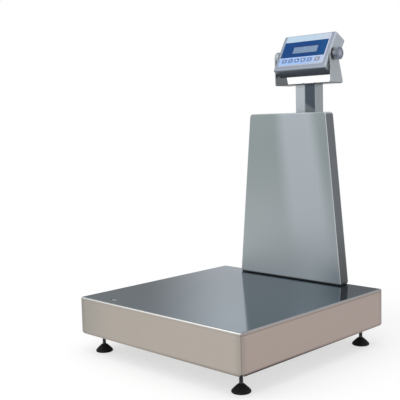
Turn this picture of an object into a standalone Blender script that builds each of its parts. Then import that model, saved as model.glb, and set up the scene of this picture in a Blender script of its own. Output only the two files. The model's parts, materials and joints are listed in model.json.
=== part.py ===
"""Stainless platform scale with a guarded rear post and a tilting indicator.

Metres, +Z up. The scale stands on the floor at z = 0, with +Y towards the post and +X to the
right of someone who reads the display. The origin lies on the floor, under the middle of the
whole depth from the front skirt to the end of the rear arm.
"""
import math

import bmesh
import bpy
from mathutils import Matrix
from mathutils import Vector

# Clearances
GAP = 0.0003
SLIDE_GAP = 0.0004
SMALLEST_RADIUS = 0.0004

# Pan
PAN_WIDTH = 0.600
PAN_DEPTH = 0.600
PAN_SHEET = 0.002
PAN_BEND = 0.004
PAN_CORNER = 0.004
SKIRT_HEIGHT = 0.103
SKIRT_CLEARANCE = 0.055
SKIRT_CORNER_RADIUS = 0.013
SKIRT_CORNER_SHARES = (1.0, 0.85, 0.7, 0.55)
PAN_TOP = SKIRT_CLEARANCE + SKIRT_HEIGHT
PAN_UNDERSIDE = PAN_TOP - PAN_SHEET
PAN_REAR = PAN_DEPTH / 2
PAN_TRAVEL = 0.0005

# Plan of the base frame inside the skirts, and of what stands on it
RAIL_INSIDE_SKIRT = 0.020
RAIL_SHORT_OF_SKIRT = 0.017
CROSS_FROM_RAIL_END = 0.026
BASE_TUBE_WIDTH = 0.040
BASE_RAIL_X = PAN_WIDTH / 2 - PAN_SHEET - RAIL_INSIDE_SKIRT - BASE_TUBE_WIDTH / 2
BASE_RAIL_HALF_LENGTH = PAN_DEPTH / 2 - PAN_SHEET - RAIL_SHORT_OF_SKIRT
BASE_CROSS_Y = BASE_RAIL_HALF_LENGTH - CROSS_FROM_RAIL_END
STOP_FROM_FOOT = 0.060
STOP_FROM_ARM_END = 0.018
PAD_FROM_STOP = 0.033

# Live top frame, from the pan downwards
PAN_PAD_RADIUS = 0.012
PAN_PAD_HEIGHT = 0.0024
PAN_PAD_EDGE = 0.0006
TOP_TUBE_HEIGHT = 0.020
TOP_TUBE_WIDTH = 0.030
TOP_BEAM_WIDTH = 0.050
TOP_ARM_HALF_LENGTH = BASE_RAIL_X + STOP_FROM_ARM_END
TOP_ARM_Y = BASE_CROSS_Y - STOP_FROM_FOOT
PAN_PAD_X = BASE_RAIL_X - PAD_FROM_STOP
TOP_FRAME_TOP = PAN_UNDERSIDE - 2 * GAP - PAN_PAD_HEIGHT
TOP_FRAME_BOTTOM = TOP_FRAME_TOP - TOP_TUBE_HEIGHT

# Load cell between two spacer plates
SPACER_HEIGHT = 0.0047
SPACER_LENGTH = 0.050
SPACER_CORNER = 0.0005
LOAD_CELL_CORNER = 0.001
LOAD_CELL_LENGTH = 0.150
LOAD_CELL_WIDTH = 0.040
LOAD_CELL_HEIGHT = 0.040
LOAD_CELL_HOLE_RADIUS = 0.011
LOAD_CELL_HOLE_PITCH = 0.030
LOAD_CELL_WEB_SLOT = 0.008
SETTLING_GAP = PAN_TRAVEL + GAP
LIVE_SPACER_HEIGHT = SPACER_HEIGHT - PAN_TRAVEL
LOAD_CELL_TOP = TOP_FRAME_BOTTOM - GAP - LIVE_SPACER_HEIGHT - SETTLING_GAP
LOAD_CELL_BOTTOM = LOAD_CELL_TOP - LOAD_CELL_HEIGHT

# Base frame
TUBE_WALL = 0.002
TUBE_CORNER = 0.003
BASE_TUBE_HEIGHT = 0.030
BASE_BEAM_WIDTH = 0.060
BASE_TOP = LOAD_CELL_BOTTOM - 2 * GAP - SPACER_HEIGHT
BASE_BOTTOM = BASE_TOP - BASE_TUBE_HEIGHT
STOP_RADIUS = 0.005
SCREW_EDGE = 0.00125
STOP_NUT_RADIUS = 0.0085
STOP_NUT_HEIGHT = 0.008
STOP_TOP = TOP_FRAME_BOTTOM - SETTLING_GAP

# Levelling feet
FOOT_Y = BASE_CROSS_Y
FOOT_RISE = 0.012
FOOT_RADIUS = 0.024
FOOT_RIM = 0.004
FOOT_EDGE = 0.0013
FOOT_HEIGHT = 0.021
FOOT_NECK_RADIUS = 0.0068
FOOT_SLOPE_STEPS = 5
FOOT_SLOPE_POWER = 1.15
STEM_RADIUS = 0.005
STEM_SEAT_DEPTH = 0.008
STEM_END_CLEARANCE = 0.0025
STEM_TOP = BASE_TOP - TUBE_WALL - FOOT_RISE - STEM_END_CLEARANCE
LOCK_NUT_RADIUS = 0.0095
LOCK_NUT_HEIGHT = 0.007

# Level under the window in the pan
LEVEL_FROM_RAIL = 0.060
LEVEL_BEFORE_CROSS = 0.007
LEVEL_X = LEVEL_FROM_RAIL - BASE_RAIL_X
LEVEL_Y = -BASE_CROSS_Y - LEVEL_BEFORE_CROSS
LEVEL_WINDOW_RADIUS = 0.0125
LEVEL_CUP_RADIUS = 0.011
LEVEL_CUP_DEPTH = 0.0085
LEVEL_VIAL_RADIUS = 0.009
LEVEL_VIAL_EDGE = 0.00075
LEVEL_POST_RADIUS = 0.005
LEVEL_FLANGE_RADIUS = 0.011
LEVEL_FLANGE_HEIGHT = 0.003
LEVEL_CUP_BELOW_PAN = 0.0006
LEVEL_VIAL_BELOW_CUP = 0.0004
LEVEL_CUP_TOP = PAN_TOP - LEVEL_CUP_BELOW_PAN
LEVEL_VIAL_TOP = LEVEL_CUP_TOP - LEVEL_VIAL_BELOW_CUP

# Post behind the pan, on a rear arm of the base frame
POST_BEHIND_PAN = 0.055
POST_WIDTH = 0.078
POST_THICKNESS = 0.040
POST_WALL = 0.002
POST_CORNER = 0.004
POST_CAP = 0.004
POST_FLANGE_WIDTH = 0.090
POST_FLANGE_DEPTH = 0.076
POST_FLANGE_HEIGHT = 0.008
POST_FRONT = PAN_REAR + POST_BEHIND_PAN
POST_Y = POST_FRONT + POST_THICKNESS / 2
POST_ARM_WIDTH = 0.092
POST_ARM_BEHIND_POST = 0.035
REAR_REACH = POST_FRONT + POST_THICKNESS + POST_ARM_BEHIND_POST
SKIRT_NOTCH_CLEARANCE = 0.006
NOTCH_CUT_REACH = 0.010

# Guard in front of the post
GUARD_OVER_PAN = 0.0419
GUARD_DEPTH = 0.0366
GUARD_BOTTOM_WIDTH = 0.382
GUARD_TOP_WIDTH = 0.284
GUARD_GAP = 0.003
GUARD_HEIGHT = 0.4973
GUARD_SHEET = 0.002
GUARD_BEND = 0.003
GUARD_TOP_RADIUS = 0.010
GUARD_BOTTOM_RADIUS = 0.004
GUARD_COVER_INSET = 0.0005
GUARD_FRONT = PAN_REAR - GUARD_OVER_PAN
GUARD_REAR = GUARD_FRONT + GUARD_DEPTH
GUARD_BOTTOM = PAN_TOP + GUARD_GAP
GUARD_TOP = GUARD_BOTTOM + GUARD_HEIGHT
BRACKET_SHEET = 0.003
BRACKET_BEND = 0.005
BRACKET_HEIGHT = 0.060
BRACKET_SHORT_OF_REAR = 0.008
BRACKET_FROM_BOTTOM = 0.040
BRACKET_FROM_TOP = 0.030
BRACKET_LOW = GUARD_BOTTOM + BRACKET_FROM_BOTTOM
BRACKET_HIGH = GUARD_TOP - BRACKET_FROM_TOP - BRACKET_HEIGHT

# Yoke on top of the post
YOKE_UNDERSIDE = 0.7445
YOKE_SHEET = 0.003
YOKE_BEND = 0.005
YOKE_DEPTH = 0.062
YOKE_FORWARD = 0.0045
YOKE_ARM_RADIUS = 0.0195
YOKE_TIP_STEPS = 7
YOKE_TIP_TURN = math.radians(84)
YOKE_Y = POST_Y - YOKE_FORWARD
PIVOT_HEIGHT = 0.0862
PIVOT_FORWARD = 0.0177
PIVOT_Y = POST_Y - PIVOT_FORWARD
PIVOT_Z = YOKE_UNDERSIDE + PIVOT_HEIGHT
STUD_RADIUS = 0.004
STUD_HOLE_RADIUS = 0.0045
STUD_INSIDE = 0.008

# Indicator, in the frame of its face: x right, y up the face, z out of the face, from the pivot
FACE_TILT = math.radians(30.3)
FACE_WIDTH = 0.195
FACE_HEIGHT = 0.128
FACE_BELOW_PIVOT = 0.0554
FACE_OUT = 0.0126
FRONT_DEPTH = 0.028
DEPTH_BOTTOM = 0.042
DEPTH_TOP = 0.052
HOUSING_SHEET = 0.002
HOUSING_CORNER = 0.006
HOUSING_BEND = 0.005
BACK_BEND = 0.004
FACE_BOTTOM = -FACE_BELOW_PIVOT
FACE_TOP = FACE_BOTTOM + FACE_HEIGHT
RIM_Z = FACE_OUT - FRONT_DEPTH
HOUSING_INNER_Z = FACE_OUT - HOUSING_SHEET

# Spacer discs and arms beside the housing
DISC_THICKNESS = 0.0041
DISC_RADIUS = 0.015
ARM_INNER_X = FACE_WIDTH / 2 + DISC_THICKNESS + 2 * GAP
ARM_OUTER_X = ARM_INNER_X + YOKE_SHEET

# Clamp knobs
KNOB_RADIUS = 0.020
KNOB_LOBES = 6
KNOB_LOBE_DEPTH = 0.0022
KNOB_HUB_RADIUS = 0.017
KNOB_HUB_LENGTH = 0.004
KNOB_LENGTH = 0.021
KNOB_EDGE = 0.004
KNOB_DIMPLE_RADIUS = 0.0085
KNOB_DIMPLE_DEPTH = 0.0015
LEFT_KNOB_SHARE = 0.4

# Overlay, display and keys on the face
OVERLAY_WIDTH = 0.168
OVERLAY_HEIGHT = 0.109
OVERLAY_UP = 0.0145
OVERLAY_BOTTOM = FACE_BOTTOM + OVERLAY_UP
OVERLAY_THICKNESS = 0.0008
OVERLAY_RECESS = 0.0008
OVERLAY_CORNER = 0.004
WINDOW_X = 0.002
WINDOW_UP = 0.071
WINDOW_Y = FACE_BOTTOM + WINDOW_UP
WINDOW_WIDTH = 0.0965
WINDOW_HEIGHT = 0.028
WINDOW_CORNER = 0.0015
MODULE_MARGIN = 0.009
MODULE_DEPTH = 0.0085
BOARD_THICKNESS = 0.0016
BOARD_WIDTH = 0.166
BOARD_HEIGHT = 0.108
KEY_COUNT = 6
KEY_WIDTH = 0.0168
KEY_HEIGHT = 0.0135
KEY_CORNER = 0.002
KEY_FIRST_X = -0.0642
KEY_PITCH = 0.0237
KEY_LAST_PITCH = 0.0285
KEY_UP = 0.0335
KEY_Y = FACE_BOTTOM + KEY_UP
KEY_PROUD = 0.0005
KEY_TRAVEL = 0.0005
KEY_LENGTH = 0.0045
SWITCH_SIZE = 0.006
SWITCH_CORNER = 0.00075

# Cable glands on the back
GLAND_X = 0.034
GLAND_UP = 0.026
GLAND_Y = FACE_BOTTOM + GLAND_UP
GLAND_NUT_RADIUS = 0.0085
GLAND_NUT_HEIGHT = 0.006
GLAND_DOME_RADIUS = 0.0075
GLAND_DOME_HEIGHT = 0.010
GLAND_TIP_RADIUS = 0.006
GLAND_BORE_RADIUS = 0.0032
GLAND_THREAD_RADIUS = 0.006
GLAND_THREAD_LENGTH = 0.007

# Facet counts
CORNER_STEPS = 4
BEND_STEPS = 3
ROUND_STEPS = 24
SMALL_ROUND_STEPS = 24
KNOB_STEPS = 48
SHARP_ANGLE = math.radians(32)


def finish(name, colour, roughness, metallic):
    """A Principled material with one colour."""
    material = bpy.data.materials.new(name)
    material.use_nodes = True
    shader = material.node_tree.nodes["Principled BSDF"]
    shader.inputs["Base Color"].default_value = (*colour, 1.0)
    shader.inputs["Roughness"].default_value = roughness
    shader.inputs["Metallic"].default_value = metallic
    material.diffuse_color = (*colour, 1.0)
    return material


def place(name, loops, looks, parent=None, ring=False, location=(0, 0, 0)):
    """Skin a row of equal loops into one closed body and put it in the scene.

    Neighbouring loops are joined by quads. A ring joins its last loop to its first, and any
    other body is closed by a flat face at both ends.
    """
    mesh = bpy.data.meshes.new(name)
    shape = bmesh.new()
    rows = [[shape.verts.new(point) for point in loop] for loop in loops]
    count = len(rows[0])
    pairs = list(zip(rows, rows[1:]))
    if ring:
        pairs.append((rows[-1], rows[0]))
    for low, high in pairs:
        for i in range(count):
            j = (i + 1) % count
            shape.faces.new((low[i], low[j], high[j], high[i]))
    if not ring:
        shape.faces.new(rows[0][::-1])
        shape.faces.new(rows[-1])
    bmesh.ops.recalc_face_normals(shape, faces=shape.faces)
    shape.to_mesh(mesh)
    shape.free()
    mesh.shade_smooth()
    mesh.set_sharp_from_angle(angle=SHARP_ANGLE)
    return register(name, mesh, looks, parent, location)


def register(name, mesh, looks, parent=None, location=(0, 0, 0)):
    """Link a mesh as a named object with its own material."""
    item = bpy.data.objects.new(name, mesh)
    if looks:
        mesh.materials.append(finish(name + "_finish", *looks))
    item.location = location
    item.parent = parent
    bpy.context.collection.objects.link(item)
    return item


def cut(item, cutter):
    """Take the cutter's shape out of the item, and keep the cutter as a hidden guide."""
    cutter.hide_render = True
    cutter.display_type = "WIRE"
    change = item.modifiers.new("cut_" + cutter.name, "BOOLEAN")
    change.operation = "DIFFERENCE"
    change.solver = "EXACT"
    change.object = cutter


def join(item, addition):
    """Add the shape of a hidden guide to the item."""
    addition.hide_render = True
    addition.display_type = "WIRE"
    change = item.modifiers.new("join_" + addition.name, "BOOLEAN")
    change.operation = "UNION"
    change.solver = "EXACT"
    change.object = addition


def along_x(u, v, s):
    """A section in the YZ plane, at distance s along X."""
    return (s, u, v)


def along_y(u, v, s):
    """A section in the XZ plane, at distance s along Y."""
    return (u, s, v)


def along_z(u, v, s):
    """A section in the XY plane, at height s."""
    return (u, v, s)


def box_corners(width, height, centre=(0.0, 0.0)):
    """Corners of an upright rectangle, counterclockwise."""
    u, v = centre
    a = width / 2
    b = height / 2
    return [(u - a, v - b), (u + a, v - b), (u + a, v + b), (u - a, v + b)]


def inset_corners(corners, inset):
    """Move each side of a convex outline inwards by the same distance."""
    count = len(corners)
    points = [Vector(corner) for corner in corners]
    moved = []
    for i in range(count):
        before = (points[i] - points[i - 1]).normalized()
        after = (points[(i + 1) % count] - points[i]).normalized()
        normal_before = Vector((-before.y, before.x))
        normal_after = Vector((-after.y, after.x))
        bisector = (normal_before + normal_after).normalized()
        moved.append(points[i] + bisector * (inset / bisector.dot(normal_before)))
    return moved


def rounded(corners, radii, inset=0.0, lead=()):
    """Convex outline with rounded corners, moved inwards by inset.

    The radii shrink with the inset, so nested outlines stay parallel. Lead distances add
    points on both straights beside each corner, measured from the sharp corner.
    """
    points = inset_corners(corners, inset)
    count = len(points)
    outline = []
    for i in range(count):
        radius = max(radii[i] - inset, SMALLEST_RADIUS)
        before = (points[i] - points[i - 1]).normalized()
        after = (points[(i + 1) % count] - points[i]).normalized()
        half_turn = before.angle(after) / 2
        reach = radius * math.tan(half_turn)
        for distance in lead:
            outline.append(points[i] - before * distance)
        start = points[i] - before * reach
        centre = start + Vector((-before.y, before.x)) * radius
        for k in range(CORNER_STEPS + 1):
            turn = 2 * half_turn * k / CORNER_STEPS
            heading = Vector((before.y, -before.x))
            heading.rotate(Matrix.Rotation(turn, 2))
            outline.append(centre + heading * radius)
        for distance in reversed(lead):
            outline.append(points[i] + after * distance)
    return outline


def section(outline, axis, station):
    """Points of a flat outline placed across an axis."""
    return [axis(point[0], point[1], station) for point in outline]


def circle(radius, axis, station, steps=ROUND_STEPS, centre=(0.0, 0.0), shape=None):
    """Round loop across an axis. A shape gives the radius as a function of the angle."""
    loop = []
    for i in range(steps):
        angle = 2 * math.pi * i / steps
        reach = shape(angle, radius) if shape else radius
        loop.append(axis(centre[0] + reach * math.cos(angle),
                         centre[1] + reach * math.sin(angle), station))
    return loop


def hexagon(angle, radius):
    """Distance from the centre to the side of a hexagon whose flats lie at the radius."""
    sixth = math.pi / 3
    return radius / math.cos((angle + sixth / 2) % sixth - sixth / 2)


def square_tube(name, axis, centre, width, height, start, end, looks, parent):
    """Rectangular tube with rounded corners and open ends."""
    corners = box_corners(width, height, centre)
    radii = [TUBE_CORNER] * 4
    outer = rounded(corners, radii)
    inner = rounded(corners, radii, TUBE_WALL)
    loops = [section(outer, axis, start), section(outer, axis, end),
             section(inner, axis, end), section(inner, axis, start)]
    return place(name, loops, looks, parent, ring=True)


def block(name, axis, centre, width, height, radius, start, end, looks, parent):
    """Solid bar with rounded long edges."""
    outline = rounded(box_corners(width, height, centre), [radius] * 4)
    loops = [section(outline, axis, start), section(outline, axis, end)]
    return place(name, loops, looks, parent)


def drill(item, name, axis, centre, radius, start, end, parent, steps=SMALL_ROUND_STEPS):
    """Round hole through an item."""
    loops = [circle(radius, axis, start, steps, centre), circle(radius, axis, end, steps, centre)]
    cut(item, place(name, loops, None, parent))


def turned(name, profile, looks, parent, steps=ROUND_STEPS, location=(0, 0, 0), ring=False):
    """Turned body on the Z axis, from a list of (radius, height)."""
    loops = [circle(radius, along_z, height, steps) for radius, height in profile]
    return place(name, loops, looks, parent, ring, location)


def tray_loops(corners, radii, sheet, bend, face, rim):
    """Loops of a folded tray: the face is a function of the point, and the rim lies below it."""
    inner = rounded(corners, radii, sheet)
    outer = rounded(corners, radii)
    loops = [[(p.x, p.y, face(p) - sheet) for p in inner],
             [(p.x, p.y, rim) for p in inner],
             [(p.x, p.y, rim) for p in outer]]
    for k in range(BEND_STEPS + 1):
        turn = math.pi / 2 * k / BEND_STEPS
        outline = rounded(corners, radii, bend * (1 - math.cos(turn)))
        loops.append([(p.x, p.y, face(p) - bend * (1 - math.sin(turn))) for p in outline])
    return loops


def bent_path(points, bend, steps=BEND_STEPS):
    """Points and normals along a polyline whose inner corners are bends of one radius."""
    corners = [Vector(point) for point in points]
    path = []
    for i, corner in enumerate(corners):
        if i in (0, len(corners) - 1):
            other = corners[1] if i == 0 else corners[-2]
            heading = (other - corner) if i == 0 else (corner - other)
            heading.normalize()
            path.append((corner, Vector((-heading.y, heading.x))))
            continue
        before = (corner - corners[i - 1]).normalized()
        after = (corners[i + 1] - corner).normalized()
        turn = before.angle_signed(after)
        if abs(turn) < 1e-6:
            path.append((corner, Vector((-before.y, before.x))))
            continue
        side = 1 if turn < 0 else -1
        start = corner - before * bend * math.tan(abs(turn) / 2)
        centre = start + side * Vector((-before.y, before.x)) * bend
        for k in range(steps + 1):
            spoke = start - centre
            spoke.rotate(Matrix.Rotation(-turn * k / steps, 2))
            normal = spoke.normalized() * -side
            path.append((centre + spoke, normal))
    return path


def bent_strip(name, path, sheet, edges, to_space, looks, parent):
    """Folded strip: edges gives the near and far side of the strip at each path point."""
    loops = []
    for point, normal in path:
        near, far = edges(point)
        low = point - normal * sheet / 2
        high = point + normal * sheet / 2
        loops.append([to_space(low, near), to_space(low, far),
                      to_space(high, far), to_space(high, near)])
    return place(name, loops, looks, parent)


# Looks as (colour, roughness, metallic)
BRUSHED = ((0.55, 0.53, 0.50), 0.38, 1.0)
POLISHED = ((0.52, 0.55, 0.60), 0.18, 1.0)
GALVANISED = ((0.45, 0.46, 0.46), 0.50, 1.0)
ALUMINIUM = ((0.72, 0.73, 0.75), 0.35, 1.0)
ZINC = ((0.62, 0.62, 0.60), 0.35, 1.0)
BLACK_RUBBER = ((0.02, 0.02, 0.02), 0.75, 0.0)
BLACK_PLASTIC = ((0.03, 0.03, 0.035), 0.45, 0.0)
GREY_PLASTIC = ((0.12, 0.13, 0.14), 0.50, 0.0)
BLUE_FILM = ((0.02, 0.06, 0.30), 0.35, 0.0)
PALE_FILM = ((0.70, 0.78, 0.86), 0.40, 0.0)
KEY_FILM = ((0.18, 0.25, 0.38), 0.45, 0.0)
DISPLAY_GLASS = ((0.55, 0.57, 0.62), 0.12, 0.0)
BOARD_GREEN = ((0.03, 0.20, 0.08), 0.45, 0.0)
LEVEL_CLEAR = ((0.75, 0.85, 0.35), 0.10, 0.0)


def build_pan(deck):
    """Inverted tray with deep skirts, a level window and a notch for the rear arm."""
    corners = box_corners(PAN_WIDTH, PAN_DEPTH)
    radii = [PAN_CORNER] * 4
    lead = [SKIRT_CORNER_RADIUS * share for share in SKIRT_CORNER_SHARES]

    def outline(inset):
        return rounded(corners, radii, inset, lead)

    def rim(point, inset):
        beside_x = PAN_WIDTH / 2 - inset - abs(point.x)
        beside_y = PAN_DEPTH / 2 - inset - abs(point.y)
        away = min(max(beside_x, beside_y), SKIRT_CORNER_RADIUS)
        short = SKIRT_CORNER_RADIUS - away
        return SKIRT_CLEARANCE + SKIRT_CORNER_RADIUS - math.sqrt(SKIRT_CORNER_RADIUS ** 2 - short ** 2)

    inner = outline(PAN_SHEET)
    outer = outline(0.0)
    loops = [[(p.x, p.y, PAN_UNDERSIDE) for p in inner],
             [(p.x, p.y, rim(p, PAN_SHEET)) for p in inner],
             [(p.x, p.y, rim(p, 0.0)) for p in outer]]
    for k in range(BEND_STEPS + 1):
        turn = math.pi / 2 * k / BEND_STEPS
        loops.append([(p.x, p.y, PAN_TOP - PAN_BEND * (1 - math.sin(turn)))
                      for p in outline(PAN_BEND * (1 - math.cos(turn)))])
    pan = place("pan", loops, POLISHED, deck)
    drill(pan, "level_window_guide", along_z, (LEVEL_X, LEVEL_Y), LEVEL_WINDOW_RADIUS,
          PAN_UNDERSIDE - PAN_BEND, PAN_TOP + PAN_BEND, deck, ROUND_STEPS)
    notch_top = BASE_TOP + SKIRT_NOTCH_CLEARANCE
    notch_bottom = SKIRT_CLEARANCE - SKIRT_NOTCH_CLEARANCE
    notch = block("skirt_notch_guide", along_y, (0.0, (notch_top + notch_bottom) / 2),
                  POST_ARM_WIDTH + 2 * SKIRT_NOTCH_CLEARANCE, notch_top - notch_bottom,
                  TUBE_CORNER, PAN_REAR - NOTCH_CUT_REACH, PAN_REAR + NOTCH_CUT_REACH, None, deck)
    cut(pan, notch)


def build_top_frame(deck):
    """Live frame under the pan, an H of three tubes, with a rubber pad at each arm end."""
    middle = (TOP_FRAME_TOP + TOP_FRAME_BOTTOM) / 2
    beam_end = TOP_ARM_Y - TOP_TUBE_WIDTH / 2 - GAP
    square_tube("top_beam_centre", along_y, (0.0, middle), TOP_BEAM_WIDTH, TOP_TUBE_HEIGHT,
                -beam_end, beam_end, GALVANISED, deck)
    for name, y in (("front", -TOP_ARM_Y), ("rear", TOP_ARM_Y)):
        square_tube("top_arm_" + name, along_x, (y, middle), TOP_TUBE_WIDTH, TOP_TUBE_HEIGHT,
                    -TOP_ARM_HALF_LENGTH, TOP_ARM_HALF_LENGTH, GALVANISED, deck)
    pad = [(PAN_PAD_RADIUS, 0.0), (PAN_PAD_RADIUS, PAN_PAD_HEIGHT - PAN_PAD_EDGE),
           (PAN_PAD_RADIUS - PAN_PAD_EDGE, PAN_PAD_HEIGHT)]
    for name, x, y in four_corners(PAN_PAD_X, TOP_ARM_Y):
        turned("pan_pad_" + name, pad, BLACK_RUBBER, deck, SMALL_ROUND_STEPS,
               (x, y, TOP_FRAME_TOP + GAP))


def four_corners(x, y):
    """Names and places of what stands at each corner of the platform."""
    return (("front_left", -x, -y), ("front_right", x, -y),
            ("rear_left", -x, y), ("rear_right", x, y))


def build_load_cell(deck):
    """Single-point load cell with its joined pair of holes, between two spacer plates."""
    middle = (LOAD_CELL_TOP + LOAD_CELL_BOTTOM) / 2
    half = LOAD_CELL_LENGTH / 2
    cell = block("load_cell", along_y, (0.0, middle), LOAD_CELL_WIDTH, LOAD_CELL_HEIGHT,
                 LOAD_CELL_CORNER, -half, half, ALUMINIUM, deck)
    side = LOAD_CELL_WIDTH
    for name, y in (("front", -LOAD_CELL_HOLE_PITCH / 2), ("rear", LOAD_CELL_HOLE_PITCH / 2)):
        drill(cell, "cell_hole_guide_" + name, along_x, (y, middle), LOAD_CELL_HOLE_RADIUS,
              -side, side, deck, ROUND_STEPS)
    slot = block("cell_slot_guide", along_x, (0.0, middle), LOAD_CELL_HOLE_PITCH,
                 LOAD_CELL_WEB_SLOT, TUBE_CORNER, -side, side, None, deck)
    cut(cell, slot)
    inner_end = half - SPACER_LENGTH
    for name, near, far, bottom, height in (
            ("lower", inner_end, half, BASE_TOP + GAP, SPACER_HEIGHT),
            ("upper", -half, -inner_end, LOAD_CELL_TOP + SETTLING_GAP, LIVE_SPACER_HEIGHT)):
        block("load_cell_spacer_" + name, along_y, (0.0, bottom + height / 2),
              LOAD_CELL_WIDTH, height, SPACER_CORNER, near, far, ZINC, deck)


def build_base_frame(deck):
    """Fixed frame of rectangular tubes, with the arm that reaches back to the post."""
    middle = (BASE_TOP + BASE_BOTTOM) / 2
    for name, x in (("left", -BASE_RAIL_X), ("right", BASE_RAIL_X)):
        rail = square_tube("base_rail_" + name, along_y, (x, middle), BASE_TUBE_WIDTH,
                           BASE_TUBE_HEIGHT, -BASE_RAIL_HALF_LENGTH, BASE_RAIL_HALF_LENGTH,
                           BRUSHED, deck)
        for end, y in (("front", -FOOT_Y), ("rear", FOOT_Y)):
            drill(rail, "stem_hole_guide_" + name + "_" + end, along_z, (x, y),
                  STEM_RADIUS + SLIDE_GAP, BASE_BOTTOM - TUBE_WALL, middle, deck)
    cross_end = BASE_RAIL_X - BASE_TUBE_WIDTH / 2 - GAP
    for name, y in (("front", -BASE_CROSS_Y), ("rear", BASE_CROSS_Y)):
        square_tube("base_cross_" + name, along_x, (y, middle), BASE_TUBE_WIDTH,
                    BASE_TUBE_HEIGHT, -cross_end, cross_end, BRUSHED, deck)
    beam_end = BASE_CROSS_Y - BASE_TUBE_WIDTH / 2 - GAP
    square_tube("base_beam_centre", along_y, (0.0, middle), BASE_BEAM_WIDTH, BASE_TUBE_HEIGHT,
                -beam_end, beam_end, BRUSHED, deck)
    arm_start = BASE_CROSS_Y + BASE_TUBE_WIDTH / 2 + GAP
    square_tube("post_arm", along_y, (0.0, middle), POST_ARM_WIDTH, BASE_TUBE_HEIGHT,
                arm_start, REAR_REACH, BRUSHED, deck)


def build_overload_stops(deck):
    """Adjusting screw with its nut under each end of the live arms."""
    for name, x, y in four_corners(BASE_RAIL_X, TOP_ARM_Y):
        foot = BASE_TOP + GAP
        loops = [circle(STOP_NUT_RADIUS, along_z, foot, SMALL_ROUND_STEPS, shape=hexagon),
                 circle(STOP_NUT_RADIUS, along_z, foot + STOP_NUT_HEIGHT, SMALL_ROUND_STEPS,
                        shape=hexagon),
                 circle(STOP_RADIUS, along_z, foot + STOP_NUT_HEIGHT, SMALL_ROUND_STEPS),
                 circle(STOP_RADIUS, along_z, STOP_TOP - SCREW_EDGE, SMALL_ROUND_STEPS),
                 circle(STOP_RADIUS - SCREW_EDGE, along_z, STOP_TOP, SMALL_ROUND_STEPS)]
        place("overload_stop_" + name, loops, ZINC, deck, location=(x, y, 0.0))


def build_feet(deck):
    """Conical rubber pad, threaded stem and lock nut at each corner."""
    pad = [(FOOT_RADIUS - FOOT_EDGE, 0.0), (FOOT_RADIUS, FOOT_EDGE)]
    for k in range(FOOT_SLOPE_STEPS + 1):
        share = k / FOOT_SLOPE_STEPS
        narrowing = (FOOT_RADIUS - FOOT_NECK_RADIUS) * share ** FOOT_SLOPE_POWER
        pad.append((FOOT_RADIUS - narrowing, FOOT_RIM + (FOOT_HEIGHT - FOOT_RIM) * share))
    socket_radius = STEM_RADIUS + GAP
    socket_floor = FOOT_HEIGHT - STEM_SEAT_DEPTH
    pad += [(socket_radius, FOOT_HEIGHT), (socket_radius, socket_floor)]
    seat = socket_floor + GAP
    for name, x, y in four_corners(BASE_RAIL_X, FOOT_Y):
        turned("foot_pad_" + name, pad, BLACK_RUBBER, deck, ROUND_STEPS, (x, y, 0.0))
        steps = SMALL_ROUND_STEPS
        stem = [circle(STEM_RADIUS, along_z, seat, steps),
                circle(STEM_RADIUS, along_z, STEM_TOP - SCREW_EDGE, steps),
                circle(STEM_RADIUS - SCREW_EDGE, along_z, STEM_TOP, steps)]
        place("foot_stem_" + name, stem, ZINC, deck, location=(x, y, 0.0))
        nut_top = BASE_BOTTOM - GAP
        nut_bottom = nut_top - LOCK_NUT_HEIGHT
        bore = STEM_RADIUS + SLIDE_GAP
        nut = [circle(LOCK_NUT_RADIUS, along_z, nut_bottom, steps, shape=hexagon),
               circle(LOCK_NUT_RADIUS, along_z, nut_top, steps, shape=hexagon),
               circle(bore, along_z, nut_top, steps),
               circle(bore, along_z, nut_bottom, steps)]
        place("lock_nut_" + name, nut, ZINC, deck, ring=True, location=(x, y, 0.0))


def build_level(deck):
    """Bubble level on a turned pillar, seen through the window in the pan."""
    foot = BASE_TOP + GAP
    floor = LEVEL_CUP_TOP - LEVEL_CUP_DEPTH
    cup_radius = LEVEL_VIAL_RADIUS + GAP
    holder = [(LEVEL_FLANGE_RADIUS, foot), (LEVEL_FLANGE_RADIUS, foot + LEVEL_FLANGE_HEIGHT),
              (LEVEL_POST_RADIUS, foot + 2 * LEVEL_FLANGE_HEIGHT),
              (LEVEL_POST_RADIUS, floor - 3 * LEVEL_FLANGE_HEIGHT),
              (LEVEL_CUP_RADIUS, floor - LEVEL_FLANGE_HEIGHT),
              (LEVEL_CUP_RADIUS, LEVEL_CUP_TOP), (cup_radius, LEVEL_CUP_TOP), (cup_radius, floor)]
    place_at = (LEVEL_X, LEVEL_Y, 0.0)
    turned("level_holder", holder, ALUMINIUM, deck, ROUND_STEPS, place_at)
    vial = [(LEVEL_VIAL_RADIUS, floor + GAP),
            (LEVEL_VIAL_RADIUS, LEVEL_VIAL_TOP - LEVEL_VIAL_EDGE),
            (LEVEL_VIAL_RADIUS - LEVEL_VIAL_EDGE, LEVEL_VIAL_TOP)]
    turned("level_vial", vial, LEVEL_CLEAR, deck, ROUND_STEPS, place_at)


def build_post(deck):
    """Rectangular post with a foot flange and a welded cap, open at the bottom."""
    centre = (0.0, POST_Y)
    radii = [POST_CORNER] * 4
    tube = box_corners(POST_WIDTH, POST_THICKNESS, centre)
    flange = box_corners(POST_FLANGE_WIDTH, POST_FLANGE_DEPTH, centre)
    outer = rounded(tube, radii)
    inner = rounded(tube, radii, POST_WALL)
    plate = rounded(flange, [2 * POST_CORNER] * 4)
    foot = BASE_TOP + GAP
    top = YOKE_UNDERSIDE - GAP
    loops = [section(inner, along_z, top - POST_CAP), section(inner, along_z, foot),
             section(plate, along_z, foot), section(plate, along_z, foot + POST_FLANGE_HEIGHT),
             section(outer, along_z, foot + POST_FLANGE_HEIGHT), section(outer, along_z, top)]
    place("post", loops, BRUSHED, deck)


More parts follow.
